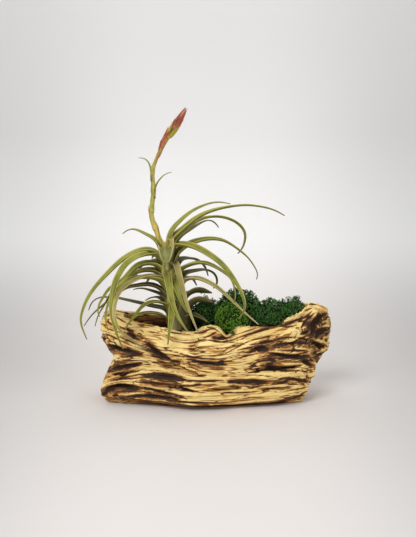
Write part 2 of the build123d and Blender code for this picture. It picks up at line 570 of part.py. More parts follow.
scape_top = scape_path @ 1
upper_flower = flower(scape_top, flower_length * flower_lean_share, flower_length, flower_half_width,
                      flower_half_thickness)
bud_length = flower_length * flower_bud_share
bud_foot = scape_path @ bud_root_share - Vector(flower_half_width * bud_width_share, flower_half_width / 3, 0)
lower_flower = flower(bud_foot, bud_length * bud_lean_share, bud_length,
                      flower_half_width * bud_width_share, flower_half_thickness * bud_width_share)
parts["flower_upper"] = largest(upper_flower - scape)
parts["flower_lower"] = largest(lower_flower - [scape, upper_flower])

os.makedirs("parts", exist_ok=True)
for name, solid in parts.items():
    export_step(solid, f"parts/{name}.step")
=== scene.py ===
import json
import math
import random

import bpy
import numpy as np
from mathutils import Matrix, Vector
from mathutils.bvhtree import BVHTree


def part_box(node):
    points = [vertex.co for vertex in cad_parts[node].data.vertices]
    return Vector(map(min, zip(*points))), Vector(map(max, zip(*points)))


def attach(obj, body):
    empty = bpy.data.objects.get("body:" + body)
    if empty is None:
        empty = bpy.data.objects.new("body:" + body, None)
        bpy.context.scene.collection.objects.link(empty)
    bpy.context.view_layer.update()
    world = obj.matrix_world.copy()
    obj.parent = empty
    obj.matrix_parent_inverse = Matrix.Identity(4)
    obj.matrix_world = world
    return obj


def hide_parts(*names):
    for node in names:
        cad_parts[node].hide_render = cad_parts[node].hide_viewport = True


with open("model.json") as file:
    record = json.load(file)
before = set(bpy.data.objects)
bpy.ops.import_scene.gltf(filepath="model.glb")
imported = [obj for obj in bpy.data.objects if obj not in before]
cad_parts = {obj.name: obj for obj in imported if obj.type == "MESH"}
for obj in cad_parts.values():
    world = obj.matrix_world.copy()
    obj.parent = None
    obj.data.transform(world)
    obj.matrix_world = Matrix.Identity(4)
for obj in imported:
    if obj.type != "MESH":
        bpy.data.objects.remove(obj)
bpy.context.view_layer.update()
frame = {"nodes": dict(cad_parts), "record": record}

print("solids loaded:", len(frame["nodes"]))

# Where the photographer stood. The middle and the focal length are in pixels of the 416 x 537 picture
photoView = {
    "target": (0.00205, 0.0, 0.1403),
    "distance": 1.0,
    "elevation": 12.0,
    "focal": 975.04,
    "middle": (208.0, 268.5),
    "pictureHeight": 537,
    "sensorHeight": 36,
}

viewTilt = math.radians(photoView["elevation"])
viewAhead = np.array((0.0, math.cos(viewTilt), -math.sin(viewTilt)))
viewUp = np.array((0.0, math.sin(viewTilt), math.cos(viewTilt)))
viewPlace = np.array(photoView["target"]) - viewAhead * photoView["distance"]


def makeCamera():
    camera = bpy.data.objects.new("photoCamera", bpy.data.cameras.new("photoCamera"))
    bpy.context.scene.collection.objects.link(camera)
    camera.location = viewPlace
    camera.rotation_euler = (math.pi / 2 - viewTilt, 0, 0)
    camera.data.sensor_fit = "VERTICAL"
    camera.data.sensor_height = photoView["sensorHeight"]
    camera.data.lens = photoView["sensorHeight"] * photoView["focal"] / photoView["pictureHeight"]
    camera.data.clip_start = 0.01
    bpy.context.scene.camera = camera


def toPicture(places):
    # pixels of the picture at which points of the scene show
    away = places - viewPlace
    depth = away @ viewAhead
    return (photoView["middle"][0] + photoView["focal"] * away[:, 0] / depth,
            photoView["middle"][1] - photoView["focal"] * (away @ viewUp) / depth)


def pictureRay(across, down):
    direction = (viewAhead + np.array((1.0, 0, 0)) * (across - photoView["middle"][0]) / photoView["focal"]
                 + viewUp * (photoView["middle"][1] - down) / photoView["focal"])
    return Vector(viewPlace), Vector(direction).normalized()


# Small helpers for curves, noise and meshes
def smoothPath(points, count):
    # a natural cubic through the points, spaced evenly in its own parameter
    points = np.asarray(points, float)
    gaps = np.linalg.norm(np.diff(points, axis=0), axis=1)
    knots = np.concatenate(([0], np.cumsum(gaps)))
    size = len(points)
    if size < 3:
        shares = np.linspace(0, 1, count)[:, None]
        return points[0] * (1 - shares) + points[-1] * shares
    matrix = np.eye(size)
    right = np.zeros_like(points)
    for i in range(1, size - 1):
        before, after = gaps[i - 1], gaps[i]
        matrix[i, i - 1:i + 2] = before, 2 * (before + after), after
        right[i] = 6 * ((points[i + 1] - points[i]) / after - (points[i] - points[i - 1]) / before)
    bends = np.linalg.solve(matrix, right)
    places = np.linspace(0, knots[-1], count)
    index = np.clip(np.searchsorted(knots, places, side="right") - 1, 0, size - 2)
    gap = gaps[index][:, None]
    left = (knots[index + 1] - places)[:, None]
    past = (places - knots[index])[:, None]
    return ((bends[index] * left ** 3 + bends[index + 1] * past ** 3) / (6 * gap)
            + (points[index] / gap - bends[index] * gap / 6) * left
            + (points[index + 1] / gap - bends[index + 1] * gap / 6) * past)


def unit(vectors):
    return vectors / np.maximum(np.linalg.norm(vectors, axis=-1, keepdims=True), 1e-12)


def fade(value, low, high):
    share = np.clip((value - low) / (high - low), 0, 1)
    return share * share * (3 - 2 * share)


noiseLayer = {"finer": 2.03, "fainter": 0.55}      # each layer next to the one before it


def cloudNoise(places, seed=0):
    # smooth noise from 0 to 1, from a number that each corner of a lattice mixes from its own place
    cell = np.floor(places).astype(np.int64)
    share = places - cell
    share = share * share * (3 - 2 * share)
    total = np.zeros(len(places))
    for corner in range(8):
        step = np.array((corner & 1, corner >> 1 & 1, corner >> 2 & 1))
        key = ((cell + step) * np.array((374761393, 668265263, 1442695041))).sum(1) + seed * 1274126177
        key = (key ^ (key >> 13)) * 1103515245
        key = (key ^ (key >> 16)) & 0xFFFF
        total += key / 0xFFFF * np.prod(np.where(step, share, 1 - share), axis=1)
    return total


def layeredNoise(places, seed=0, layers=3):
    total, weight = 0.0, 0.0
    for layer in range(layers):
        part = noiseLayer["fainter"] ** layer
        total = total + cloudNoise(places * noiseLayer["finer"] ** layer, seed + layer) * part
        weight += part
    return total / weight


def makePiece(name, points, faces, marks=None):
    # a mesh object from arrays, with named values on its points
    mesh = bpy.data.meshes.new(name)
    mesh.vertices.add(len(points))
    mesh.vertices.foreach_set("co", np.asarray(points, np.float32).ravel())
    faces = np.asarray(faces, np.int32)
    mesh.loops.add(faces.size)
    mesh.loops.foreach_set("vertex_index", faces.ravel())
    mesh.polygons.add(len(faces))
    mesh.polygons.foreach_set("loop_start", np.arange(0, faces.size, 4, dtype=np.int32))
    mesh.update(calc_edges=True)
    mesh.validate()
    for mark, values in (marks or {}).items():
        values = np.asarray(values, np.float32)
        kind, field = ("FLOAT_VECTOR", "vector") if values.ndim == 2 else ("FLOAT", "value")
        mesh.attributes.new(mark, kind, "POINT").data.foreach_set(field, values.ravel())
    mesh.shade_smooth()
    piece = bpy.data.objects.new(name, mesh)
    bpy.context.scene.collection.objects.link(piece)
    return piece


def dress(piece, finish, body, node):
    piece.data.materials.append(finish)
    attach(piece, body)
    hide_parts(node)


# Helpers for finishes. A socket knows the node tree that it is in
def paint(red, green, blue):
    values = [channel / 255 for channel in (red, green, blue)]
    return [v / 12.92 if v < 0.04045 else ((v + 0.055) / 1.055) ** 2.4 for v in values] + [1.0]


def plug(value, socket):
    if isinstance(value, bpy.types.NodeSocket):
        socket.id_data.links.new(value, socket)
    elif value is not None:
        socket.default_value = value


def calc(operation, first, second=None):
    tree = (first if isinstance(first, bpy.types.NodeSocket) else second).id_data
    node = tree.nodes.new("ShaderNodeMath")
    node.operation = operation
    plug(first, node.inputs[0])
    plug(second, node.inputs[1])
    return node.outputs[0]


def plus(first, second):
    return calc("ADD", first, second)


def times(first, second):
    return calc("MULTIPLY", first, second)


def ramp(value, low, high, end=1.0):
    # 0 up to low, the end value from high on, and smooth in between
    node = value.id_data.nodes.new("ShaderNodeMapRange")
    node.interpolation_type = "SMOOTHSTEP"
    plug(value, node.inputs["Value"])
    for name, number in (("From Min", low), ("From Max", high), ("To Min", 0.0), ("To Max", end)):
        node.inputs[name].default_value = number
    return node.outputs["Result"]


def mix(share, under, top):
    node = share.id_data.nodes.new("ShaderNodeMix")
    node.data_type = "RGBA"
    for value, index in ((share, 0), (under, 6), (top, 7)):
        plug(value, node.inputs[index])
    return node.outputs[2]


def noise(place, fineness, detail=3.0, roughness=0.6, distortion=0.0):
    # fineness is one number, or one for each axis of the place
    nodes = place.id_data.nodes
    if isinstance(fineness, tuple):
        node = nodes.new("ShaderNodeVectorMath")
        node.operation = "MULTIPLY"
        plug(place, node.inputs[0])
        node.inputs[1].default_value = fineness
        place, fineness = node.outputs[0], 1.0
    node = nodes.new("ShaderNodeTexNoise")
    plug(place, node.inputs["Vector"])
    for name, number in (("Scale", fineness), ("Detail", detail), ("Roughness", roughness),
                         ("Distortion", distortion)):
        node.inputs[name].default_value = number
    return node.outputs["Fac"]


def pointMark(tree, name, output="Fac"):
    node = tree.nodes.new("ShaderNodeAttribute")
    node.attribute_name = name
    return node.outputs[output]


def objectPlace(tree):
    return tree.nodes.new("ShaderNodeTexCoord").outputs["Object"]


def startFinish(name, look):
    # a material, its node tree, and by name what its colours follow: marks of the mesh, and noises
    finish = bpy.data.materials.new(name)
    finish.use_nodes = True
    tree = finish.node_tree
    follow = {mark: pointMark(tree, mark) for mark in look["marks"]}
    place = objectPlace(tree)
    for noiseName, settings in look["noises"].items():
        follow[noiseName] = noise(place, *settings)
    return finish, tree, follow


def layColours(follow, colours, first, layers):
    # each layer: what it follows, between which values it comes in, how much of it, and its colour
    body = colours[first]
    for name, span, share, colour in layers:
        amount = ramp(follow[name], *span, share) if span else times(follow[name], share)
        body = mix(amount, body, colours[colour])
    return body


def endFinish(finish, look, body, height):
    tree = finish.node_tree
    shader = tree.nodes["Principled BSDF"]
    plug(body, shader.inputs["Base Color"])
    for name, number in look["surface"].items():
        shader.inputs[name].default_value = number
    bump = tree.nodes.new("ShaderNodeBump")
    bump.inputs["Strength"].default_value, bump.inputs["Distance"].default_value = look["bump"]
    plug(height, bump.inputs["Height"])
    tree.links.new(bump.outputs["Normal"], shader.inputs["Normal"])
    return finish


makeCamera()

# The cast log
logShape = {
    "skinSize": 0.0011,       # size of its faces
    "evening": 14,            # rounds that smooth the solid's facets away
    "ridge": 0.0018,          # height of the grain's ridges
    "fineRidge": 0.0007,
    "crack": 0.0012,          # depth of its fine cracks
    "crackWidth": 0.024,      # in noise
    "lump": 0.0008,
    "splinter": 0.0026,       # raggedness of the broken ends
    "deepest": 0.0078,        # that grooves may sink in all
    "lineStep": 0.6,          # spacing of a groove's points, in pixels
    "grooveJump": 0.014,      # a longer step from point to point leaves the groove's surface
    "stainJump": 0.02,
    "guideGap": 0.011,        # grain distance from one guide to the next
    "pixelsOverRim": 10,      # above the rim, pixels to a guide
    "dip": {"x": 0.0215, "halfWidth": 0.0062, "depth": 0.0085},
    "wornLip": {"across": 296, "down": 313, "radius": 6.5, "rounds": 18},   # in pixels
}

# Sizes of the grain's noises: along the grain, across it and away from the face
grainSizes = {
    "ridges": (0.060, 0.0058, 0.020),
    "fine": (0.030, 0.0027, 0.012),
    "cracks": (0.062, 0.0066, 0.022),
    "crackGate": (0.026, 0.011, 0.020),
    "splinters": (0.05, 0.0045, 0.0038),
    "edges": (0.011, 0.0017, 0.006),
    "roughEdges": 0.005,
    "lumps": 0.028,
}

# What is hollow gathers dark wash, and what stands proud is brushed pale. The underside and the trough also
# get painted shade
logShade = {
    "cupSize": 0.00010,       # how far below its neighbours a point counts as all hollow
    "broadSize": 0.00004,
    "broadRounds": 6,
    "cup": 0.15,
    "hollow": 0.55,           # at the back
    "hollowLess": 0.35,       # that the front has less
    "valley": 0.12,
    "crack": 0.62,
    # painted shade on faces that turn downward
    "under": 0.55,
    # painted shade inside the trough, darker toward its floor
    "trough": 0.9,
    "proudCup": 0.5,
    "proudBroad": 0.6,
}

# Grooves of the back, where no photograph guides them
backGrooves = {
    "count": 84,
    "starts": (-0.104, 0.09),
    "runs": (0.012, 0.02, 0.035, 0.05),
    "heights": (0.006, 0.094),
    "slope": 0.12,
    "wave": 0.0035,
    "halfWidths": (0.8, 0.9, 1.1, 1.3),       # in millimetres
    "depths": (0.8, 1.1),                     # as shares of the half width
    "darkness": (0.6, 1.0),
    "step": 0.0007,
    "jump": 0.006,
}

# Lines that the grain follows across the front, from the rim down, in pixels of the picture
grainGuides = {
    "rim": [(98, 312), (131, 313), (152, 317), (165, 321), (185, 326), (198, 328), (205, 322), (215, 321),
            (226, 329), (240, 325), (265, 320), (287, 317), (302, 306), (316, 300), (335, 306)],
    "underRim": [(98, 322), (115, 328), (130, 331), (146, 331), (160, 333), (173, 340), (193, 342),
                 (201, 340), (222, 341), (241, 336), (259, 331), (279, 326), (291, 322), (305, 315),
                 (318, 308), (335, 316)],
    "leftHornFall": [(98, 330), (114, 334), (130, 341), (146, 347), (160, 352), (177, 354), (193, 357),
                     (220, 355), (240, 350), (255, 346), (275, 341), (297, 337), (318, 336), (335, 338)],
    "notchToWaist": [(98, 345), (114, 347), (137, 353), (150, 356), (167, 360), (192, 361), (205, 363),
                     (224, 364), (248, 362), (270, 357), (297, 357), (323, 355), (335, 350)],
    "middle": [(96, 372), (110, 370), (125, 367), (140, 364), (155, 366), (175, 369), (190, 370.5),
               (216, 373), (240, 374), (263, 371), (290, 369), (318, 368)],
    "longGroove": [(96, 384), (109, 381.5), (125, 378), (142, 374.5), (150, 375), (176, 376.5), (198, 381),
                   (227, 381), (250, 382), (277, 381), (290, 378.5), (311, 382)],
    "lowBand": [(96, 392), (110, 387), (120, 385), (136, 387), (160, 391), (178, 395), (193, 396),
                (220, 394), (250, 392.4), (270, 391), (296, 390), (312, 387)],
    "lowest": [(96, 400), (120, 401), (136, 398.5), (160, 400), (192, 403), (217, 404), (250, 401),
               (280, 399), (300, 396), (311, 393)],
    "foot": [(96, 409), (140, 407), (192, 411), (217, 412), (250, 409), (311, 402)],
}

# Grooves carved in the front: half width and depth in millimetres, darkness, then pixels of the picture
frontGrooves = {
    "hornEdge": (1.1, 1.3, 0.9, [(114.6, 310.7), (122, 312), (131, 314.3)]),
    "hornCrack": (1.1, 1.4, 0.9, [(103, 313), (115.3, 316.4), (126.7, 323.6)]),
    "hornFlank": (1.0, 1.0, 0.7, [(103, 326.4), (114, 331.4)]),
    "hornFlankLow": (1.3, 1.5, 0.9, [(104, 333), (119.6, 340)]),
    "hornFoot": (1.0, 1.0, 0.8, [(108, 340.7), (117.4, 343.6)]),
    "hornFall": (1.2, 1.4, 0.8, [(120.3, 337), (133, 343), (146, 349.3)]),
    "notchHollow": (3.1, 1.4, 1.0, [(104, 345), (114, 347), (126, 350), (137, 353)]),
    "knotLeft": (1.1, 1.1, 0.85, [(133, 329), (132.4, 333), (135, 337.4), (139, 339.4)]),
    "knotRight": (0.8, 0.7, 0.55, [(137.6, 330.6), (141.4, 330.2), (144, 333)]),
    "knotInner": (0.8, 0.7, 0.65, [(136.6, 335), (139.6, 333.6), (142.6, 336.4)]),
    "knotShade": (3.0, 1.2, 0.75, [(127, 329), (131, 333), (134, 337)]),
    "knotBrow": (0.9, 0.9, 0.65, [(136, 323.6), (146, 324.6), (155.3, 327)]),
    "knotTail": (0.9, 0.8, 0.5, [(146, 331.4), (160.3, 333)]),
    "gouge": (3.6, 1.8, 1.0, [(145.3, 342), (152, 347), (159, 353), (167.4, 358)]),
    "gougeTail": (1.6, 1.6, 0.8, [(160, 356), (171, 361), (180, 362)]),
    "underNotch": (0.9, 1.0, 0.7, [(113, 359.3), (125, 357), (136, 355), (146, 352)]),
    "underNotchLow": (0.9, 1.1, 0.8, [(111, 363), (124, 361.6), (136, 360.7), (149, 358.6)]),
    "leftBroad": (4.0, 1.0, 0.85, [(106, 370.5), (118, 368.5), (130, 366), (141, 364)]),
    "leftBroadRidge": (0.8, 1.6, 0.95, [(108, 366.5), (122, 364.5), (138, 362)]),
    "leftBroadLow": (1.0, 1.5, 0.9, [(105.3, 375.7), (120, 372), (136, 368)]),
    "leftThin": (0.9, 1.2, 0.8, [(110, 381), (126, 379), (142, 378)]),
    "longLeft": (1.1, 1.6, 0.9, [(109, 381.4), (125, 377.5), (141.7, 374.3), (150, 375)]),
    "longBroad": (3.4, 1.1, 0.95, [(144, 376), (158, 377), (172, 378.5), (186, 380)]),
    "longTop": (0.9, 1.5, 0.95, [(150, 373.5), (164, 374), (178, 375.5)]),
    "longMiddle": (1.0, 1.3, 0.85, [(184, 379), (198, 381.2), (212, 381), (228, 381)]),
    "longRight": (2.3, 0.9, 0.95, [(227, 380.4), (238, 382), (250, 382.2), (264, 381.8), (277, 380.8)]),
    "longEnd": (1.3, 1.6, 0.95, [(275, 381), (289.6, 378.5), (300, 380), (312, 382)]),
    "cavern": (3.4, 1.7, 1.0, [(104.6, 394), (110, 388), (119.6, 385.4), (130, 387), (141, 389)]),
    "cavernTail": (1.9, 1.0, 0.95, [(138, 387.5), (152, 390), (166, 392.6), (178, 395.5), (187, 399.4)]),
    "cavernHole": (2.6, 3.0, 1.0, [(113, 396.5), (119, 397.5)]),
    "cavernSill": (0.9, 1.2, 0.8, [(120, 401), (128, 399.6), (136, 398)]),
    "redBand": (2.6, 1.0, 0.55, [(128, 397), (146, 396.5), (164, 398), (180, 401)]),
    "redBandLine": (0.9, 1.2, 0.8, [(133, 396.4), (153, 395.7), (176, 398.6)]),
    "bottomLine": (1.0, 1.2, 0.8, [(160, 399.4), (176, 401.5), (192, 403), (217, 403.8), (250, 400.6)]),
    "rimCrease": (1.0, 1.2, 0.8, [(189.3, 332.4), (204.6, 331.8), (211, 328)]),
    "rimCreaseLow": (0.9, 1.0, 0.75, [(203.4, 338), (211, 335), (217.4, 331)]),
    "dip": (2.4, 2.6, 0.95, [(218.7, 338.8), (224, 336), (229, 333.7)]),
    "dipLip": (0.9, 1.0, 0.7, [(214, 324.8), (220.6, 329.2)]),
    "longCrack": (0.9, 1.2, 0.75, [(172.8, 340.4), (193, 342.3), (201.5, 340), (222.5, 341.3),
                                   (241.6, 336.2)]),
    "longCrackRise": (1.5, 0.7, 0.95, [(240, 336.8), (250, 333.7), (259, 331), (271, 327.2), (280, 326)]),
    "longCrackEnd": (1.0, 1.3, 0.9, [(278, 326.6), (291, 322.6), (305, 315.7)]),
    "rightFork": (0.9, 1.2, 0.8, [(277, 325.7), (289.6, 326.4), (300, 324)]),
    "hornLine": (0.8, 1.0, 0.8, [(301, 310.4), (309.5, 306.5)]),
    "hornLineLow": (0.9, 1.2, 0.85, [(299, 320), (305, 317), (313, 310.4)]),
    "waistUpper": (0.8, 0.8, 0.6, [(189.3, 349.6), (198.3, 347), (220, 346.8)]),
    "waistFleck": (0.8, 0.7, 0.5, [(206, 356), (218, 356.3)]),
    "waistLine": (0.9, 1.2, 0.8, [(177, 353.8), (193, 357.3), (208, 359), (224, 359.2)]),
    "waistLens": (2.6, 0.8, 0.9, [(190, 359.8), (204.6, 362.8), (214, 364), (226, 364.5)]),
    "waistTail": (0.8, 0.9, 0.7, [(219.3, 361.7), (235.3, 361.4)]),
    "belowLens": (0.9, 1.2, 0.8, [(181.7, 365), (192, 368), (199.5, 370.7), (216, 372)]),
    "belowLensLow": (0.9, 1.2, 0.8, [(180.4, 373), (195.7, 375.8), (208, 376.4)]),
    "bellyLine": (0.8, 1.0, 0.6, [(160, 384), (174.7, 385.3), (195, 391.7), (216, 393.3)]),
    "bellyFine": (0.7, 0.7, 0.5, [(193, 388), (220, 389), (250, 389.8)]),
    "bellyLong": (0.9, 1.1, 0.75, [(198, 392.4), (225, 393), (250, 392.4), (265, 391.5), (280, 391)]),
    "bellyEnd": (1.0, 1.3, 0.8, [(280, 391.2), (295.7, 390), (309.5, 387.3)]),
    "crackOne": (0.9, 1.3, 0.95, [(237, 349.8), (246, 348.5), (255, 346.8)]),
    "crackTwo": (0.9, 1.3, 0.95, [(240, 353.4), (248, 352.6), (257, 350.8)]),
    "crackThree": (0.9, 1.3, 0.95, [(241, 356.6), (249, 355.6), (258, 353.8)]),
    "darkCorner": (4.2, 1.2, 1.0, [(256, 348.5), (262, 349.5), (268, 351)]),
    "cornerTop": (1.3, 1.4, 0.9, [(258, 343.5), (265, 342), (273, 341)]),
    "overCorner": (0.9, 1.2, 0.8, [(252.8, 340), (262, 338), (272.7, 334.8)]),
    "overCornerLow": (0.9, 1.1, 0.75, [(264, 343.3), (275.8, 340), (286, 338), (297, 337)]),
    "upperDeep": (1.9, 1.0, 1.0, [(273, 346), (285, 344), (296, 342.8), (308, 343.2), (320, 344)]),
    "mainHollow": (2.7, 1.4, 1.0, [(268, 352.5), (278, 354.5), (290, 356.6), (304, 357), (323, 355.5)]),
    "mainHollowTop": (1.0, 1.4, 0.9, [(276, 350.3), (292, 351), (308, 350.4), (322, 350.6)]),
    "mouth": (5.2, 5.0, 0.9, [(309, 329), (313, 325), (318, 319), (323, 316)]),
    "mouthLow": (4.2, 1.4, 0.95, [(306, 332), (314, 332), (322, 331), (329, 330)]),
    "mouthRim": (1.1, 1.2, 0.9, [(315, 312), (308, 319.5), (302.6, 327), (303.3, 332.6)]),
    "underTongue": (1.6, 2.0, 0.95, [(299, 337.5), (311, 341.5), (322, 345), (331, 347.5)]),
    "tongueNotch": (2.6, 5.0, 0.95, [(315, 344.6), (321, 346.6), (327, 348.4)]),
    "crevice": (2.4, 4.4, 0.95, [(303, 361), (309.5, 365), (318, 367)]),
    "mottle": (3.6, 0.9, 0.6, [(267, 363), (271, 368), (275, 372)]),
    "mottleLine": (0.9, 1.1, 0.8, [(248, 373), (263.5, 370), (285, 370.5), (309.5, 372)]),
    "mottleOver": (0.9, 1.0, 0.7, [(278.8, 367.7), (297, 367)]),
    "mottleUpper": (0.8, 0.9, 0.7, [(281, 361.6), (292.6, 361)]),
    "belowRight": (0.8, 0.8, 0.5, [(236, 398.3), (250, 398.2), (266.6, 398)]),
    "rimLeft": (0.9, 1.1, 0.75, [(146, 318), (158, 321), (170, 326)]),
    "rimMiddle": (0.9, 1.1, 0.75, [(164, 331), (180, 333), (196, 335.4)]),
    "rimMiddleTop": (0.8, 0.9, 0.65, [(174, 325.4), (186, 328.4), (198, 331)]),
    "rimRightLow": (0.9, 1.1, 0.75, [(234, 335), (248, 330.6), (262, 326)]),
    "rimRightTop": (0.9, 1.1, 0.75, [(262, 322.6), (274, 320), (288, 315.6)]),
    "hornTop": (0.9, 1.1, 0.75, [(304, 305), (312, 304), (322, 304.4)]),
    "footRight": (1.7, 1.8, 0.85, [(286, 399.6), (292.6, 398.3), (301, 395), (308, 390.7)]),
}

# Broad dark stains, streaked by the grain: half width in millimetres, darkness, pixels of the picture
frontStains = {
    "leftFlank": (5.5, 0.9, [(100, 335), (106, 340), (112, 346)]),
    "notch": (4.5, 1.0, [(108, 349), (122, 351), (138, 354)]),
    "knot": (5.0, 0.8, [(127, 333), (133, 336), (140, 338)]),
    "gouge": (5.4, 1.0, [(147, 344), (154, 351), (162, 359)]),
    "gougeEnd": (3.2, 0.75, [(158, 361), (168, 364), (178, 363)]),
    "leftBroad": (6.4, 0.95, [(104, 372), (118, 367), (134, 363)]),
    "leftLow": (3.6, 0.6, [(102, 381), (112, 377), (126, 374)]),
    "longBroad": (5.2, 1.0, [(146, 378), (160, 379), (174, 381), (186, 383)]),
    "longBelow": (2.6, 0.6, [(186, 383), (200, 384), (214, 384)]),
    "cavern": (5.6, 1.0, [(104, 393), (112, 389), (122, 388), (134, 390)]),
    "cavernTail": (3.4, 0.8, [(134, 390), (150, 392), (166, 395), (180, 400)]),
    "waistLens": (4.0, 1.0, [(190, 361), (204, 364), (222, 367)]),
    "waistSpots": (4.6, 0.52, [(192, 348), (206, 350), (220, 352)]),
    "darkCorner": (6.2, 1.0, [(254, 348), (262, 350), (269, 352)]),
    "cornerEnd": (3.0, 0.8, [(262, 343), (272, 341), (282, 339)]),
    "mainHollow": (4.2, 1.0, [(270, 355), (284, 357), (298, 358), (312, 357)]),
    "upperDeep": (3.4, 1.0, [(280, 346), (294, 344), (306, 344), (318, 346)]),
    "rightMass": (5.0, 0.62, [(314, 347), (319, 356), (320, 364)]),
    "mottle": (6.2, 0.66, [(266, 362), (276, 366), (290, 369)]),
    "longRight": (4.4, 0.9, [(232, 381), (246, 383), (258, 383)]),
    "longEnd": (3.2, 0.85, [(276, 382), (290, 382), (304, 383)]),
    "mouth": (8.6, 1.2, [(309, 331), (314, 325), (320, 318)]),
    "mouthLow": (5.5, 1.1, [(311, 334), (320, 333), (329, 330)]),
    "hornSide": (3.4, 0.3, [(300, 316), (306, 310), (311, 306)]),
    "hornTip": (3.2, 0.4, [(320, 306), (326, 310), (330, 316)]),
    "mouthRim": (3.4, 0.6, [(326, 312), (331, 322), (331, 334)]),
    "rimRight": (3.2, 0.5, [(262, 330), (278, 326), (296, 321)]),
    "dip": (3.4, 0.9, [(216, 338), (223, 336), (229, 334)]),
    "footLeft": (4.2, 0.85, [(118, 398), (136, 398), (158, 400), (180, 402)]),
    "footMiddle": (3.4, 0.8, [(180, 402), (204, 404.5), (232, 404.5), (256, 402.5), (280, 400.5),
        (300, 396)]),
    "rightEnd": (4.2, 0.7, [(309, 372), (311, 384), (306, 394)]),
}


def aroundMean(values, edges):
    # mean of each point's neighbours
    count = np.bincount(edges.ravel(), minlength=len(values))
    flat = values.reshape(len(values), -1)
    sums = [np.bincount(edges[:, 0], flat[edges[:, 1], column], len(values))
            + np.bincount(edges[:, 1], flat[edges[:, 0], column], len(values))
            for column in range(flat.shape[1])]
    return (np.stack(sums, 1) / np.maximum(count, 1)[:, None]).reshape(values.shape)


def copySkin(node, size, evening):
    # the solid's outer form as one even skin, its facets smoothed away without shrinking it
    skin = bpy.data.objects.new("skin", frame["nodes"][node].data.copy())
    bpy.context.scene.collection.objects.link(skin)
    remesh = skin.modifiers.new("even", "REMESH")
    remesh.mode = "VOXEL"
    remesh.voxel_size = size
    even = bpy.data.meshes.new_from_object(skin.evaluated_get(bpy.context.evaluated_depsgraph_get()))
    bpy.data.objects.remove(skin)
    places = np.zeros(len(even.vertices) * 3)
    even.vertices.foreach_get("co", places)
    places = places.reshape(-1, 3)
    edges = np.zeros(len(even.edges) * 2, np.int32)
    even.edges.foreach_get("vertices", edges)
    edges = edges.reshape(-1, 2)
    corners = np.zeros(len(even.loops), np.int32)
    even.loops.foreach_get("vertex_index", corners)
    for turn in range(evening):
        places = places + 0.6 * (aroundMean(places, edges) - places)
        places = places - 0.62 * (aroundMean(places, edges) - places)
    return places, edges, corners.reshape(-1, 4)


def skinNormals(places, quads):
    a, b, c, d = (places[quads[:, i]] for i in range(4))
    face = np.cross(c - a, d - b)
    normals = np.zeros_like(places)
    for i in range(4):
        for axis in range(3):
            normals[:, axis] += np.bincount(quads[:, i], face[:, axis], len(places))
    return unit(normals)


def grainPlaces(places):
    # distance along the grain, across it, and away from the face
    across, down = toPicture(places)
    guides = np.stack([np.interp(across, *zip(*line)) for line in grainGuides.values()])
    front = np.where(down < guides[0], (down - guides[0]) / logShape["pixelsOverRim"], 0.0)
    for low, high in zip(guides, guides[1:]):
        front = front + np.clip((down - low) / np.maximum(high - low, 1.5), 0, 1)
    x, y, z = places.T
    back = (0.092 - z) / 0.092 * 8 + 0.5 * np.sin(x * 27 + 1) + 0.3 * np.sin(x * 61)
    face = fade(-y, -0.012, 0.010)
    grain = (face * front + (1 - face) * back) * logShape["guideGap"]
    return np.stack((x + 0.3 * (z - 0.05), grain, y), 1), face


troughShape = {
    "middle": 0.009,
    "halfLength": 0.089,
    "halfBack": 0.021,
    "halfFront": 0.0175,
    "floor": 0.052,           # its height, from which the walls lean out
    "lean": 0.007,
    "sideLean": 0.6,          # share of the lean that the long walls have
    "endRound": 1.61,
    "sideRound": 1.43,
}


def innerShare(places):
    # under 1 inside the trough's walls
    x, y, z = places.T
    trough = troughShape
    lean = trough["lean"] * (z - trough["floor"]) / trough["floor"]
    along = np.abs((x - trough["middle"]) / (trough["halfLength"] + lean)) ** trough["endRound"]
    half = np.where(y > 0, trough["halfBack"], trough["halfFront"]) + trough["sideLean"] * lean
    aside = np.abs(y / half) ** trough["sideRound"]
    return (np.minimum(along, 4) ** 2 + np.minimum(aside, 4) ** 2) ** 0.5


def traceLine(tree, corners, step, jump):
    # points of the skin under a line of the picture
    length = sum(math.dist(a, b) for a, b in zip(corners, corners[1:]))
    line = []
    for across, down in smoothPath(corners, max(6, int(length / step))):
        hit = tree.ray_cast(*pictureRay(across, down))[0]
        if hit is not None and (not line or (hit - line[-1]).length < jump):
            line.append(hit)
    return np.array(line)


def nearLine(places, line, reach):
    # which points lie near a line, how far off they are, and where along it
    near = np.where(((places > line.min(0) - reach) & (places < line.max(0) + reach)).all(1))[0]
    own = places[near]
    gaps = (own ** 2).sum(1)[:, None] + (line ** 2).sum(1)[None] - 2 * own @ line.T
    nearest = gaps.argmin(1)
    gap = np.sqrt(np.maximum(gaps[np.arange(len(near)), nearest], 0))
    return near, gap, nearest / max(len(line) - 1, 1)


def stain(places, line, halfWidth, darkness, cover):
    near, gap = nearLine(places, line, 2 * halfWidth)[:2]
    cover[near] = np.maximum(cover[near], darkness * np.exp(-(gap / halfWidth) ** 3 * 0.8))


def carve(places, line, halfWidth, depth, darkness, wobble, worked):
    # sinks one groove into the skin along a line of points
    near, gap, along = nearLine(places, line, 3.2 * halfWidth)
    taper = np.sin(np.pi * np.clip(along, 0.03, 0.97)) ** 0.4
    calm = min(1.0, 0.0018 / halfWidth)       # a broad groove keeps a calmer edge than a fine one
    share = gap / (halfWidth * taper * (1 + (wobble[near] - 1) * calm))
    bed = np.exp(-share ** 2 * 1.1)
    lip = np.exp(-((share - 1.9) / 0.6) ** 2)
    worked["sink"][near] += depth * taper * (bed - 0.22 * calm * lip)
    for name, width in (("shade", 0.9), ("halo", 2.1)):
        values = worked[name]
        values[near] = np.maximum(values[near], darkness * taper * np.exp(-(share / width) ** 2))


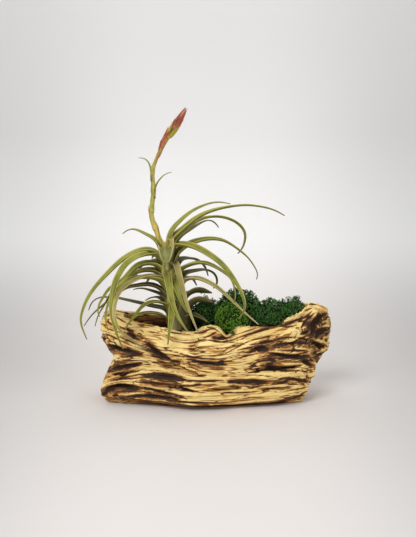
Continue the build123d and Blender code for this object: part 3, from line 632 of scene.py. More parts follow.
def carveFront(tree, places, wobble, worked):
    for halfWidth, depth, darkness, corners in frontGrooves.values():
        line = traceLine(tree, corners, logShape["lineStep"], logShape["grooveJump"])
        if len(line) > 2:
            carve(places, line, halfWidth / 1000, depth / 1000, darkness, wobble, worked)
    for halfWidth, darkness, corners in frontStains.values():
        line = traceLine(tree, corners, logShape["lineStep"], logShape["stainJump"])
        if len(line) > 1:
            stain(places, line, halfWidth / 1000, darkness, worked["cover"])


def carveBack(tree, places, wobble, worked):
    chance = random.Random(11)
    for number in range(backGrooves["count"]):
        start = chance.uniform(*backGrooves["starts"])
        run = chance.choice(backGrooves["runs"])
        height = chance.uniform(*backGrooves["heights"])
        slope = chance.uniform(-backGrooves["slope"], backGrooves["slope"])
        line = []
        for share in np.linspace(0, 1, int(run / backGrooves["step"])):
            at = start + run * share
            level = height + slope * run * share + backGrooves["wave"] * math.sin(at * 40 + number * 0.3)
            hit = tree.ray_cast(Vector((at, 0.2, level)), Vector((0, -1, 0)))[0]
            if hit is None or hit.y <= 0:
                continue
            if not line or (hit - line[-1]).length < backGrooves["jump"]:
                line.append(hit)
        if len(line) > 8:
            wide = chance.choice(backGrooves["halfWidths"]) / 1000
            depth = chance.uniform(*backGrooves["depths"]) * wide
            darkness = chance.uniform(*backGrooves["darkness"])
            carve(places, np.array(line), wide, depth, darkness, wobble, worked)


def wearSmooth(places, edges):
    # the thin lip at the right horn's foot is worn smooth
    worn = logShape["wornLip"]
    across, down = toPicture(places)
    weight = np.exp(-((across - worn["across"]) ** 2 + (down - worn["down"]) ** 2) / worn["radius"] ** 2)
    for turn in range(worn["rounds"]):
        places = places + (aroundMean(places, edges) - places) * (0.8 * weight)[:, None]
    return places


def makeLog():
    places, edges, quads = copySkin("driftwood_log", logShape["skinSize"], logShape["evening"])
    print("log skin:", len(places), "points")
    normals = skinNormals(places, quads)
    tree = BVHTree.FromPolygons(places.tolist(), quads.tolist())
    grain, face = grainPlaces(places)
    x, y, z = places.T
    wobble = (0.62 + 0.46 * cloudNoise(grain / np.array(grainSizes["edges"]), 5)
              + 0.3 * cloudNoise(places / grainSizes["roughEdges"], 6))
    worked = {name: np.zeros(len(places)) for name in ("sink", "shade", "halo", "cover")}
    carveFront(tree, places, wobble, worked)
    carveBack(tree, places, wobble, worked)

    # Grain: long ridges that drift with the guides, cracks and ragged ends
    def grainNoise(name, seed):
        return layeredNoise(grain / np.array(grainSizes[name]), seed, 2)

    ridges = 1 - np.abs(2 * grainNoise("ridges", 1) - 1)
    fine = grainNoise("fine", 7)
    lumps = layeredNoise(places / grainSizes["lumps"], 13, 2) - 0.5
    # fine cracks run where a noise stretched along the grain crosses its middle
    gate = fade(cloudNoise(grain / np.array(grainSizes["crackGate"]), 33), 0.40, 0.56)
    cracks = np.exp(-((grainNoise("cracks", 31) - 0.5) / logShape["crackWidth"]) ** 2) * gate
    splinters = layeredNoise(places / np.array(grainSizes["splinters"]), 17, 3) - 0.5
    valleys = fade(0.62 - ridges, 0.0, 0.35)
    endOn = np.abs(normals[:, 0])
    inner = fade(innerShare(places), 1.12, 0.96) * fade(z, 0.050, 0.056)
    outer = fade(np.abs(x - 0.004), 0.098, 0.108)
    rise = (logShape["ridge"] * (ridges - 0.75) + logShape["fineRidge"] * (fine - 0.5) * 2
            + logShape["lump"] * lumps * 2) * (1 - 0.75 * inner)
    rise -= logShape["crack"] * cracks * (1 - inner)
    rise += logShape["splinter"] * splinters * 2 * fade(endOn, 0.35, 0.8) * (1 - inner) * outer
    sink = np.minimum(worked["sink"], logShape["deepest"]) * (1 - 0.8 * inner)
    rest = fade(z, 0.0003, 0.0030)            # the underside stays flat
    moved = places + normals * ((rise - sink) * rest)[:, None]
    # the front rim's low place, over which the bright moss hangs
    dip = logShape["dip"]
    low = np.exp(-((x - dip["x"]) / dip["halfWidth"]) ** 2) * fade(z, 0.073, 0.086) * fade(-y, 0.004, 0.014)
    moved[:, 2] = np.maximum(moved[:, 2] - dip["depth"] * low, 0.0)
    moved = wearSmooth(moved, edges)

    final = skinNormals(moved, quads)
    cup = ((aroundMean(moved, edges) - moved) * final).sum(1)
    cup = cup + aroundMean(cup, edges)
    broad = cup
    for turn in range(logShade["broadRounds"]):
        broad = aroundMean(broad, edges)
    cup = np.clip(cup / logShade["cupSize"], -1, 1)
    broad = np.clip(broad / logShade["broadSize"], -1, 1)
    hollow = logShade["hollow"] - logShade["hollowLess"] * face
    dark = np.clip(worked["shade"] + logShade["cup"] * np.maximum(cup, 0) + hollow * np.maximum(broad, 0)
                   + logShade["valley"] * valleys + logShade["crack"] * cracks * (1 - inner), 0, 1)
    # painted shade: faces that turn downward are darkened
    dark = np.maximum(dark, logShade["under"] * fade(-final[:, 2], 0.10, 0.60))
    # painted shade inside the trough, darker toward its floor
    dark = np.maximum(dark, logShade["trough"] * inner * fade(z, 0.100, 0.072))
    proud = np.clip(-logShade["proudCup"] * cup - logShade["proudBroad"] * broad, 0, 1)
    return makePiece("driftwoodLog", moved, quads, {
        "grain": grain, "dark": dark, "halo": worked["halo"], "cover": worked["cover"], "proud": proud,
        "endOn": fade(endOn, 0.5, 0.85)})


logFinish = {
    "cream": paint(253, 227, 151),
    "straw": paint(240, 200, 118),
    "ochre": paint(204, 148, 70),
    "rust": paint(150, 88, 36),
    "umber": paint(88, 52, 24),
    "pit": paint(40, 22, 12),
    "marks": ("dark", "halo", "cover", "proud", "endOn"),
    # fineness, detail, roughness and distortion of each noise
    "noises": {"specks": (560.0, 2.0)},
    "grainNoises": {
        "streaks": ((22, 380, 130), 5.0, 0.62, 0.3),
        "hairs": ((36, 820, 300),),
        "blotches": ((20, 62, 55), 4.0, 0.62),
        "thread": ((13, 200, 90), 2.5, 0.5, 0.4),
        "gate": ((34, 90, 60), 2.0, 0.5),
    },
    "lineWidth": (0.028, 0.004),
    "lineGate": (0.38, 0.50),
    # what adds to the wash
    "haloWash": 0.36,
    "endWash": 0.13,
    "lineWash": 0.62,
    "unevenWash": {"streaks": 1.1, "blotches": 0.7, "hairs": 0.7},
    "stainWash": {"streaks": 2.6, "hairs": 1.8, "specks": 0.6},
    "stainStart": 0.58,
    "layers": [
        ("blotches", (0.36, 0.64), 1.0, "cream"),
        ("streaks", (0.50, 0.70), 0.6, "ochre"),
        ("proud", None, 0.7, "cream"),
        ("wash", (0.12, 0.40), 0.8, "ochre"),
        ("wash", (0.32, 0.58), 0.85, "rust"),
        ("wash", (0.48, 0.76), 0.95, "umber"),
        ("wash", (0.74, 1.10), 0.85, "pit"),
        ("specks", (0.66, 0.76), 0.5, "umber"),
    ],
    # pale paint dragged over the ridges
    "dragHairs": (0.48, 0.64),
    "dragProud": (0.15, 0.7),
    "dragWash": (0.15, 0.6),
    "dragShare": 0.6,
    "surface": {"Roughness": 0.66, "Specular IOR Level": 0.35},
    "bump": (0.85, 0.0012),
}


def sumOfNoises(follow, shares):
    # how far each noise is over its middle, times its share
    total = 0.0
    for name, share in shares.items():
        total = plus(times(calc("SUBTRACT", follow[name], 0.5), share), total)
    return total


def makeLogFinish():
    finish, tree, follow = startFinish("castLogPaint", logFinish)
    grain = pointMark(tree, "grain", "Vector")
    for name, settings in logFinish["grainNoises"].items():
        follow[name] = noise(grain, *settings)
    # a hair line runs where the thread noise crosses its middle, and the gate breaks it up
    thread = calc("ABSOLUTE", calc("SUBTRACT", follow["thread"], 0.5))
    lines = times(ramp(thread, *logFinish["lineWidth"]), ramp(follow["gate"], *logFinish["lineGate"]))
    # the wash, with painted shade on the underside and in the trough: ochre and rust round a groove, umber
    # in it, and nearly black at the bottom
    wash = calc("MAXIMUM", follow["dark"], times(follow["halo"], logFinish["haloWash"]))
    wash = plus(wash, sumOfNoises(follow, logFinish["unevenWash"]))
    # stains break up into streaks
    broken = plus(sumOfNoises(follow, logFinish["stainWash"]), logFinish["stainStart"])
    wash = plus(wash, calc("MAXIMUM", times(broken, follow["cover"]), 0.0))
    wash = plus(wash, times(follow["endOn"], logFinish["endWash"]))
    wash = plus(wash, times(lines, logFinish["lineWash"]))
    follow["wash"] = wash
    body = layColours(follow, logFinish, "straw", logFinish["layers"])
    drag = times(ramp(follow["hairs"], *logFinish["dragHairs"]),
                 ramp(follow["proud"], *logFinish["dragProud"]))
    dragged = mix(ramp(wash, *logFinish["dragWash"]), logFinish["cream"], logFinish["ochre"])
    body = mix(times(drag, logFinish["dragShare"]), body, dragged)
    height = calc("SUBTRACT", plus(follow["streaks"], times(follow["hairs"], 0.4)), times(lines, 0.5))
    return endFinish(finish, logFinish, body, height)


log = makeLog()
dress(log, makeLogFinish(), "planter", "driftwood_log")
print("log done")


# Blades: the leaves, the bracts and the sheaths are all curved strips round a line
def bladeShape(path, uppers, widths, arcs, thickness, columns=8):
    # the strip's hollow side faces along uppers. Returns points, faces and marks
    ahead = unit(np.gradient(path, axis=0))
    side = unit(np.cross(uppers, ahead))
    upper = np.cross(ahead, side)
    turns = np.linspace(-1, 1, columns + 1)
    angle = arcs[:, None] * turns[None]
    radius = (widths / np.maximum(arcs, 0.05))[:, None]
    top = (path[:, None] + side[:, None] * (radius * np.sin(angle))[..., None]
           + upper[:, None] * (radius * (1 - np.cos(angle)))[..., None])
    inward = upper[:, None] * np.cos(angle)[..., None] - side[:, None] * np.sin(angle)[..., None]
    thick = thickness[:, None] * (1 - 0.78 * turns[None] ** 2)
    bottom = top - inward * thick[..., None]
    rings = np.concatenate((top, bottom[:, ::-1]), 1)
    rows, size = rings.shape[:2]
    index = np.arange(rows * size).reshape(rows, size)
    after = np.roll(index, -1, 1)
    faces = [np.stack((index[1:], after[1:], after[:-1], index[:-1]), -1).reshape(-1, 4)]
    for row in (0, rows - 1):
        front, back = index[row, :columns + 1], index[row, :columns:-1]
        cap = np.stack((front[:-1], front[1:], back[1:], back[:-1]), -1)
        faces.append(cap if row == 0 else cap[:, ::-1])
    share = np.linspace(0, 1, rows)
    around = np.concatenate((turns, turns[::-1]))
    marks = {
        "along": np.repeat(share, size),
        "across": np.tile(np.abs(around), rows),
        "under": np.tile(np.repeat((0.0, 1.0), columns + 1), rows),
        "vein": np.tile(around, rows),
    }
    return rings.reshape(-1, 3), np.concatenate(faces), marks


def ringAngles(size):
    return np.linspace(0, 2 * math.pi, size, endpoint=False)


def tubeShape(rings, marks):
    # a closed tube of rings, with both ends filled. Each mark has one value for each ring
    rows, size = rings.shape[:2]
    index = np.arange(rows * size).reshape(rows, size)
    after = np.roll(index, -1, 1)
    quads = [np.stack((index[:-1], after[:-1], after[1:], index[1:]), -1).reshape(-1, 4)]
    for row, flip in ((0, True), (rows - 1, False)):
        ring = index[row]
        fan = np.array([(ring[i], ring[i + 1], ring[size - 2 - i], ring[size - 1 - i])
                        for i in range(size // 2 - 1)])
        quads.append(fan[:, ::-1] if flip else fan)
    marks = {name: np.repeat(np.broadcast_to(values, rows), size) for name, values in marks.items()}
    return rings.reshape(-1, 3), np.concatenate(quads), marks


def gather(shapes):
    # several shapes as one, with the marks that the first one has
    firsts = np.cumsum([0] + [len(points) for points, faces, marks in shapes])
    allPoints = np.concatenate([points for points, faces, marks in shapes])
    allFaces = np.concatenate([faces + first for (points, faces, marks), first in zip(shapes, firsts)])
    allMarks = {name: np.concatenate([marks[name] for points, faces, marks in shapes])
                for name in shapes[0][2]}
    return allPoints, allFaces, allMarks


plantShape = {
    "foot": (-0.023, 0.004, 0.05204),
    "lean": 0.019,
    "stemLength": 0.110,
    "footRadius": 0.0132,
    "topRadius": 0.0068,
    "reach": 0.100,
    "halfWidth": 0.0072,
    "tipHalfWidth": 0.0005,
    "thickness": 0.0013,
    "sink": 0.0008,           # how deep a leaf's root lies in the stem
    "sheath": 0.15,           # share of the stem that a leaf's sheath climbs
    "rows": 54,
    "taper": 1.02,            # 1 for a straight-sided blade
    "arc": 1.0,               # half the angle that a blade's section turns through
    "arcMiddle": -0.12,       # and what the middle, the tip and the sheath add to it
    "arcTip": 0.25,
    "arcSheath": 0.35,
    "sheathEnd": 1.9,         # where it stops wrapping the stem, as a share of its climb
    "sheathWidth": (0.7, 0.4),       # how much wider it is, and more so on a wide leaf
    "round": ["leaf_front_06"],      # short leaves that end as an oval
    "stemShares": [(0.0, 1.0), (0.16, 0.98), (0.32, 0.80), (0.48, 0.46), (0.72, 0.26), (1.0, 0.0)],
}

# Leaves: heading at the root and at the tip, root as a share of the stem, width share, the twist at
# the tip in degrees, the tone from 0 for fresh to 1 for old, then the midrib's points as shares of the
# reach outward and upward
leafTable = {
    "leaf_right_01": (8, 8, 0.97, 1.20, 25, 0.25, [(0.09, 0.11), (0.16, 0.18), (0.3, 0.3), (0.45, 0.38),
        (0.65, 0.43), (0.82, 0.445), (1, 0.425), (1.15, 0.38), (1.24, 0.33)]),
    "leaf_right_02": (42, 38, 1.00, 0.60, -20, 0.2, [(0.10, 0.155), (0.19, 0.235), (0.33, 0.32),
        (0.51, 0.38), (0.69, 0.40), (0.86, 0.37)]),
    "leaf_right_03": (25, 25, 0.93, 0.95, 40, 0.3, [(0.11, 0.14), (0.2, 0.21), (0.32, 0.3), (0.44, 0.345),
        (0.57, 0.35), (0.7, 0.32), (0.84, 0.24), (0.9, 0.15), (0.9, 0.07), (0.86, -0.02), (0.82, -0.06)]),
    "leaf_right_04": (18, 18, 0.82, 1.10, -15, 0.3, [(0.1, 0.11), (0.18, 0.18), (0.3, 0.23), (0.46, 0.25),
        (0.61, 0.22), (0.74, 0.14), (0.87, 0.03), (0.95, -0.08), (0.98, -0.16), (0.97, -0.21)]),
    "leaf_right_05": (-24, -40, 0.91, 1.12, -25, 0.35, [(0.1, 0.11), (0.21, 0.13), (0.33, 0.115),
        (0.49, 0.06), (0.63, -0.01), (0.73, -0.08), (0.81, -0.15), (0.89, -0.23), (0.95, -0.31),
        (0.98, -0.39), (0.97, -0.45), (0.95, -0.49)]),
    "leaf_right_06": (-20, -30, 0.66, 1.15, 20, 0.65, [(0.12, 0.14), (0.22, 0.2), (0.35, 0.23),
        (0.47, 0.21), (0.59, 0.16), (0.68, 0.1), (0.72, 0.02), (0.74, -0.05), (0.74, -0.11)]),
    "leaf_right_07": (-22, -36, 0.56, 0.85, 15, 0.2, [(0.13, 0.13), (0.25, 0.175), (0.37, 0.16),
        (0.51, 0.11), (0.65, 0.03), (0.79, -0.05), (0.91, -0.11), (1.05, -0.17)]),
    "leaf_right_08": (52, 50, 0.74, 0.95, 0, 0.85, [(0.14, 0.1), (0.29, 0.12), (0.45, 0.07), (0.56, -0.02),
        (0.61, -0.12)]),
    "leaf_right_09": (34, 32, 0.62, 0.95, 10, 0.9, [(0.14, 0.1), (0.28, 0.13), (0.4, 0.13), (0.48, 0.1),
        (0.54, 0.03), (0.54, -0.04), (0.5, -0.08)]),
    "leaf_right_10": (8, 8, 0.44, 1.8, 110, 0.8, [(0.12, 0.08), (0.19, 0.13), (0.28, 0.14), (0.38, 0.12)]),
    "leaf_right_11": (-6, -10, 0.34, 2.0, 100, 0.75, [(0.12, 0.1), (0.19, 0.15), (0.29, 0.17),
        (0.37, 0.16)]),
    "leaf_right_12": (-36, -36, 0.28, 1.10, 0, 0.85, [(0.08, 0.06), (0.16, 0.09), (0.25, 0.09),
        (0.33, 0.07), (0.37, 0.055)]),
    "leaf_left_01": (162, 166, 0.98, 0.75, 0, 0.35, [(0.11, 0.08), (0.21, 0.14), (0.3, 0.18), (0.36, 0.19),
        (0.42, 0.17), (0.46, 0.14)]),
    "leaf_left_02": (188, 205, 0.85, 1.10, 20, 0.15, [(0.13, 0.1), (0.23, 0.13), (0.36, 0.1), (0.49, 0.03),
        (0.6, -0.06), (0.74, -0.19), (0.84, -0.31), (0.9, -0.42), (0.93, -0.52), (0.91, -0.64),
        (0.89, -0.71)]),
    "leaf_left_03": (215, 238, 0.82, 0.95, 30, 0.2, [(0.17, 0.13), (0.28, 0.15), (0.41, 0.14), (0.55, 0.09),
        (0.65, 0.02), (0.74, -0.07), (0.81, -0.2), (0.85, -0.32), (0.84, -0.47), (0.81, -0.61),
        (0.79, -0.69)]),
    "leaf_left_04": (196, 204, 0.73, 1.25, 0, 0.4, [(0.16, 0.11), (0.26, 0.13), (0.34, 0.11), (0.42, 0.05),
        (0.52, -0.03), (0.64, -0.09), (0.72, -0.18), (0.77, -0.26), (0.78, -0.32), (0.77, -0.36)]),
    "leaf_left_05": (178, 182, 0.66, 1.15, 0, 0.5, [(0.15, 0.1), (0.25, 0.12), (0.35, 0.1), (0.43, 0.05),
        (0.52, -0.03), (0.62, -0.11), (0.7, -0.24), (0.76, -0.34), (0.8, -0.46)]),
    "leaf_left_06": (212, 216, 0.60, 1.10, -20, 0.35, [(0.18, 0.11), (0.31, 0.15), (0.43, 0.16),
        (0.52, 0.15), (0.6, 0.11), (0.67, 0.06), (0.74, -0.02), (0.78, -0.1), (0.8, -0.21), (0.78, -0.32)]),
    "leaf_left_07": (184, 182, 0.52, 0.90, 0, 0.75, [(0.16, 0.09), (0.27, 0.13), (0.39, 0.12), (0.49, 0.1),
        (0.58, 0.04), (0.66, -0.02), (0.75, -0.09), (0.85, -0.18), (0.94, -0.3)]),
    "leaf_left_08": (158, 160, 0.30, 0.75, 0, 0.85, [(0.14, 0.08), (0.26, 0.11), (0.38, 0.125),
        (0.48, 0.14), (0.59, 0.155), (0.71, 0.17), (0.81, 0.17), (0.93, 0.15), (1.01, 0.08), (1.04, 0.01)]),
    "leaf_left_09": (165, 163, 0.50, 0.60, 0, 0.95, [(0.16, 0.04), (0.27, 0.075), (0.37, 0.09),
        (0.46, 0.07)]),
    "leaf_left_10": (216, 224, 0.34, 0.80, 15, 0.5, [(0.14, 0.12), (0.25, 0.18), (0.37, 0.19), (0.48, 0.15),
        (0.56, 0.09), (0.65, 0.03), (0.7, -0.01)]),
    "leaf_left_11": (202, 214, 0.24, 0.80, 0, 0.7, [(0.14, 0.08), (0.3, 0.17), (0.46, 0.18), (0.57, 0.13),
        (0.65, 0.05)]),
    "leaf_left_12": (212, 250, 0.64, 0.60, 25, 0.25, [(0.15, 0.09), (0.27, 0.13), (0.43, 0.13), (0.6, 0.1),
        (0.76, 0.04), (0.87, -0.05), (0.94, -0.15), (0.93, -0.26), (0.84, -0.36), (0.76, -0.44),
        (0.69, -0.5)]),
    "leaf_front_01": (-52, -58, 0.86, 0.58, 0, 0.10, [(0.07, 0.04), (0.12, 0), (0.18, -0.07), (0.24, -0.17),
        (0.32, -0.32), (0.41, -0.44), (0.5, -0.53), (0.58, -0.6)]),
    "leaf_front_02": (-106, -68, 0.79, 0.65, 0, 0.30, [(0.08, 0.03), (0.17, -0.08), (0.3, -0.26),
        (0.42, -0.41), (0.53, -0.53)]),
    "leaf_front_03": (-92, -97, 0.46, 0.75, 0, 0.3, [(0.1, 0.05), (0.25, 0), (0.38, -0.09), (0.47, -0.2),
        (0.5, -0.3)]),
    "leaf_front_04": (-92, -62, 0.70, 0.65, 0, 0.5, [(0.09, 0.06), (0.19, -0.02), (0.29, -0.15),
        (0.38, -0.28)]),
    "leaf_front_05": (-52, -66, 0.99, 0.62, 0, 0.3, [(0.05, 0.1), (0.12, 0.11), (0.17, 0.04),
        (0.17, -0.06)]),
    "leaf_front_06": (-90, -88, 0.94, 1.05, 0, 0.55, [(0.09, 0.07), (0.15, 0.055), (0.20, 0.0),
        (0.21, -0.06)]),
    "leaf_back_01": (50, 46, 0.90, 0.60, 10, 0.43, [(0.08, 0.1), (0.18, 0.17), (0.35, 0.24), (0.53, 0.3),
        (0.64, 0.31), (0.71, 0.28), (0.77, 0.22)]),
    "leaf_back_02": (80, 76, 0.84, 1.00, -10, 0.46, [(0.12, 0.05), (0.28, 0.05), (0.44, -0.04)]),
    "leaf_back_03": (98, 95, 0.94, 0.90, 15, 0.35, [(0.1, 0.05), (0.25, 0.06), (0.42, -0.02)]),
    "leaf_back_04": (112, 108, 0.72, 1.00, 0, 0.48, [(0.12, 0.07), (0.27, 0.09), (0.42, 0.02),
        (0.54, -0.12)]),
    "leaf_back_05": (120, 116, 0.86, 0.95, -15, 0.42, [(0.1, 0.05), (0.25, 0.05), (0.42, -0.04)]),
    "leaf_back_06": (136, 132, 0.76, 1.00, 10, 0.46, [(0.11, 0.06), (0.26, 0.08), (0.42, 0.02),
        (0.56, -0.12)]),
    "leaf_back_07": (66, 64, 0.56, 0.90, 0, 0.51, [(0.13, 0.08), (0.28, 0.11), (0.42, 0.07),
        (0.53, -0.03)]),
    "leaf_back_08": (100, 97, 0.52, 0.90, 0, 0.52, [(0.13, 0.08), (0.28, 0.11), (0.42, 0.07)]),
    "leaf_back_09": (128, 124, 0.60, 0.95, 10, 0.49, [(0.13, 0.08), (0.29, 0.1), (0.44, 0.04),
        (0.56, -0.08)]),
    "leaf_back_10": (88, 85, 0.36, 0.80, 0, 0.55, [(0.12, 0.08), (0.25, 0.12), (0.37, 0.11), (0.46, 0.06)]),
    "leaf_back_11": (56, 54, 0.42, 0.80, 0, 0.54, [(0.12, 0.08), (0.25, 0.11), (0.37, 0.1), (0.45, 0.06)]),
    "leaf_back_12": (138, 138, 0.34, 0.80, 0, 0.55, [(0.12, 0.09), (0.26, 0.14), (0.38, 0.13),
        (0.48, 0.08)]),
}


def stemPlace(share):
    foot = np.array(plantShape["foot"])
    return foot + np.array((-plantShape["lean"] * share, 0, plantShape["stemLength"] * share))


def stemRadius(share):
    swell = np.interp(share, *zip(*plantShape["stemShares"]))
    return plantShape["topRadius"] + (plantShape["footRadius"] - plantShape["topRadius"]) * swell


def headingWay(angle):
    return np.array((math.cos(angle), math.sin(angle), 0))


def leafLine(firstHeading, lastHeading, rootShare, points):
    # the sheath climbs the stem before the blade leaves it
    root = stemPlace(rootShare)
    reach = plantShape["reach"]
    outward = headingWay(math.radians(firstHeading))
    radius = stemRadius(rootShare) - plantShape["sink"]
    low = max(rootShare - plantShape["sheath"], 0.01)
    line = [stemPlace(low) + outward * (stemRadius(low) - 0.0012),
            stemPlace(rootShare - 0.03) + outward * radius]
    for number, (out, up) in enumerate(points, 1):
        turn = math.radians(firstHeading + (lastHeading - firstHeading) * number / len(points))
        if reach * out > radius + 0.0015:
            line.append(root + np.array((reach * out * math.cos(turn), reach * out * math.sin(turn),
                                         reach * up)))
    return line, radius


def makeLeaf(name, row):
    firstHeading, lastHeading, rootShare, widthShare, twist, tone, points = row
    rows = plantShape["rows"]
    line, radius = leafLine(firstHeading, lastHeading, rootShare, points)
    path = smoothPath(line, rows)
    share = np.linspace(0, 1, rows)
    travelled = np.concatenate(([0], np.cumsum(np.linalg.norm(np.diff(path, axis=0), axis=1))))
    sheathEnd = np.linalg.norm(line[1] - line[0]) / travelled[-1]
    blade = np.clip((share - sheathEnd) / (1 - sheathEnd), 0, 1)
    halfWidth = plantShape["halfWidth"] * widthShare
    swell = (1 - blade) ** plantShape["taper"]
    if name in plantShape["round"]:
        swell = np.sin(np.pi * (0.1 + 0.9 * blade)) ** 0.55
    chord = plantShape["tipHalfWidth"] + (halfWidth - plantShape["tipHalfWidth"]) * swell
    hug = 1 - fade(share, 0.0, sheathEnd * plantShape["sheathEnd"])
    arcs = (plantShape["arc"] + plantShape["arcMiddle"] * np.sin(np.pi * blade)
            + plantShape["arcTip"] * fade(blade, 0.75, 1.0) + plantShape["arcSheath"] * hug)
    wider, wideMore = plantShape["sheathWidth"]
    chord = chord * (1 + hug * (wider + wideMore * widthShare) * radius / plantShape["footRadius"])
    widths = chord * arcs / np.sin(np.minimum(arcs, 1.5))
    turns = np.radians(firstHeading + (lastHeading - firstHeading) * share)
    ahead = unit(np.gradient(path, axis=0))
    flat = np.stack((-np.sin(turns), np.cos(turns), np.zeros(rows)), 1)
    side = unit(flat - ahead * (flat * ahead).sum(1, keepdims=True))
    upper = np.cross(ahead, side)
    roll = np.radians(twist) * blade ** 2
    upper = upper * np.cos(roll)[:, None] + side * np.sin(roll)[:, None]
    thickness = plantShape["thickness"] * (1 - 0.6 * blade) * (0.55 + 0.45 * fade(share, 0, 0.2))
    points, faces, marks = bladeShape(path, upper, widths, arcs, thickness)
    marks["tone"] = np.full(len(points), tone)
    marks["run"] = np.repeat(travelled, len(points) // rows)
    return makePiece(name.replace("_", "") + "Blade", points, faces, marks)


leafFinish = {
    "fresh": {"sheath": paint(128, 122, 72), "base": paint(140, 136, 58), "blade": paint(140, 142, 40),
              "shade": paint(76, 80, 20), "tip": paint(130, 110, 66), "margin": paint(204, 192, 100),
              "scurf": paint(154, 150, 100)},
    "old": {"sheath": paint(124, 104, 66), "base": paint(112, 104, 54), "blade": paint(98, 96, 38),
            "shade": paint(56, 55, 22), "tip": paint(112, 88, 60), "margin": paint(156, 144, 86),
            "scurf": paint(128, 122, 88)},
    "dry": {"sheath": paint(150, 142, 98), "base": paint(166, 152, 88), "blade": paint(166, 152, 76),
            "shade": paint(126, 110, 54), "tip": paint(146, 124, 88), "margin": paint(220, 208, 150),
            "scurf": paint(176, 168, 130)},
    "grey": {"sheath": paint(134, 132, 70), "base": paint(138, 136, 72), "blade": paint(140, 138, 72),
             "shade": paint(104, 104, 46), "tip": paint(150, 142, 88), "margin": paint(206, 200, 138),
             "scurf": paint(160, 156, 104)},
}

# Leaves that look unlike the others of their slot
leafLooks = {
    "leaf_front_01": "dry", "leaf_right_07": "dry", "leaf_left_12": "dry", "leaf_front_05": "dry",
    "leaf_front_06": "grey",
    "leaf_right_02": "fresh", "leaf_right_03": "fresh", "leaf_left_05": "fresh",
}


leafSkin = {
    "marks": ("along", "across", "under", "tone", "vein", "run"),
    "noises": {"scales": (1400.0, 2.0, 0.7)},
    "strandNoises": {"lines": ((30, 1500, 10), 2.0), "clouds": ((45, 120, 10),)},
    "strandWidth": 0.006,
    "silver": (0.45, 0.7),
    "silverAbove": 0.06,
    "silverUnder": 0.18,      # that the underside has more
    "layers": [
        ("along", (0.04, 0.18), 1.0, "base"),
        ("along", (0.16, 0.50), 1.0, "blade"),
        ("clouds", (0.42, 0.66), 0.68, "shade"),
        ("tone", (0.1, 1.0), 0.55, "shade"),
        ("lines", (0.52, 0.75), 0.45, "margin"),
        ("along", (0.86, 1.0), 0.9, "tip"),
        ("across", (0.72, 0.98), 0.7, "margin"),
        ("silver", None, 1.0, "scurf"),
    ],
    "surface": {"Roughness": 0.52, "Specular IOR Level": 0.4, "Subsurface Weight": 0.08,
                "Subsurface Scale": 0.001, "Subsurface Radius": (0.6, 1.0, 0.3)},
    "bump": (0.35, 0.0003),
}


def makeLeafFinish(look):
    finish, tree, follow = startFinish("leaf" + look.capitalize(), leafSkin)
    # a place on the blade: along it, across it, and apart from other leaves
    strand = tree.nodes.new("ShaderNodeCombineXYZ")
    across = times(follow["vein"], leafSkin["strandWidth"])
    for value, socket in zip((follow["run"], across, follow["tone"]), strand.inputs):
        plug(value, socket)
    for name, settings in leafSkin["strandNoises"].items():
        follow[name] = noise(strand.outputs[0], *settings)
    # silvery scales, more of them underneath
    share = plus(times(follow["under"], leafSkin["silverUnder"]), leafSkin["silverAbove"])
    follow["silver"] = times(ramp(follow["scales"], *leafSkin["silver"]), share)
    body = layColours(follow, leafFinish[look], "sheath", leafSkin["layers"])
    return endFinish(finish, leafSkin, body, plus(follow["lines"], times(follow["scales"], 0.4)))


slotOf = {row["node"]: row["material_slot"] for row in frame["record"]["subparts"]}
leafFinishes = {look: makeLeafFinish(look) for look in leafFinish}
for name, row in leafTable.items():
    look = leafLooks.get(name, slotOf[name].replace("leaf_", ""))
    dress(makeLeaf(name, row), leafFinishes[look], "air_plant", name)
print("leaves done:", len(leafTable))

# The stem: a core wrapped in the dry sheaths of lost leaves
sheathShape = {
    "count": 30,
    "length": 0.030,
    "lowest": 0.0,            # share of the stem
    "highest": 0.62,
    "turn": 2.4,              # from one sheath to the next, in radians
    "thickness": 0.0007,
    "inset": 0.0016,          # how deep its root lies in the stem
    "flares": [(0.0, 0.0), (0.35, 0.0002), (0.7, 0.0010)],       # share of its length, way out
    "tipFlare": (0.0012, 0.0034),
    "turnSpread": 0.2,
    "lengths": (0.75, 1.1),
    "halfWidth": 1.05,        # as a share of the stem's radius
    "arc": 1.15,
    "narrowing": 1.7,
    "rows": 16,
    "coreInset": 0.0022,
    "coreRows": 30,
    "coreSize": 28,
}


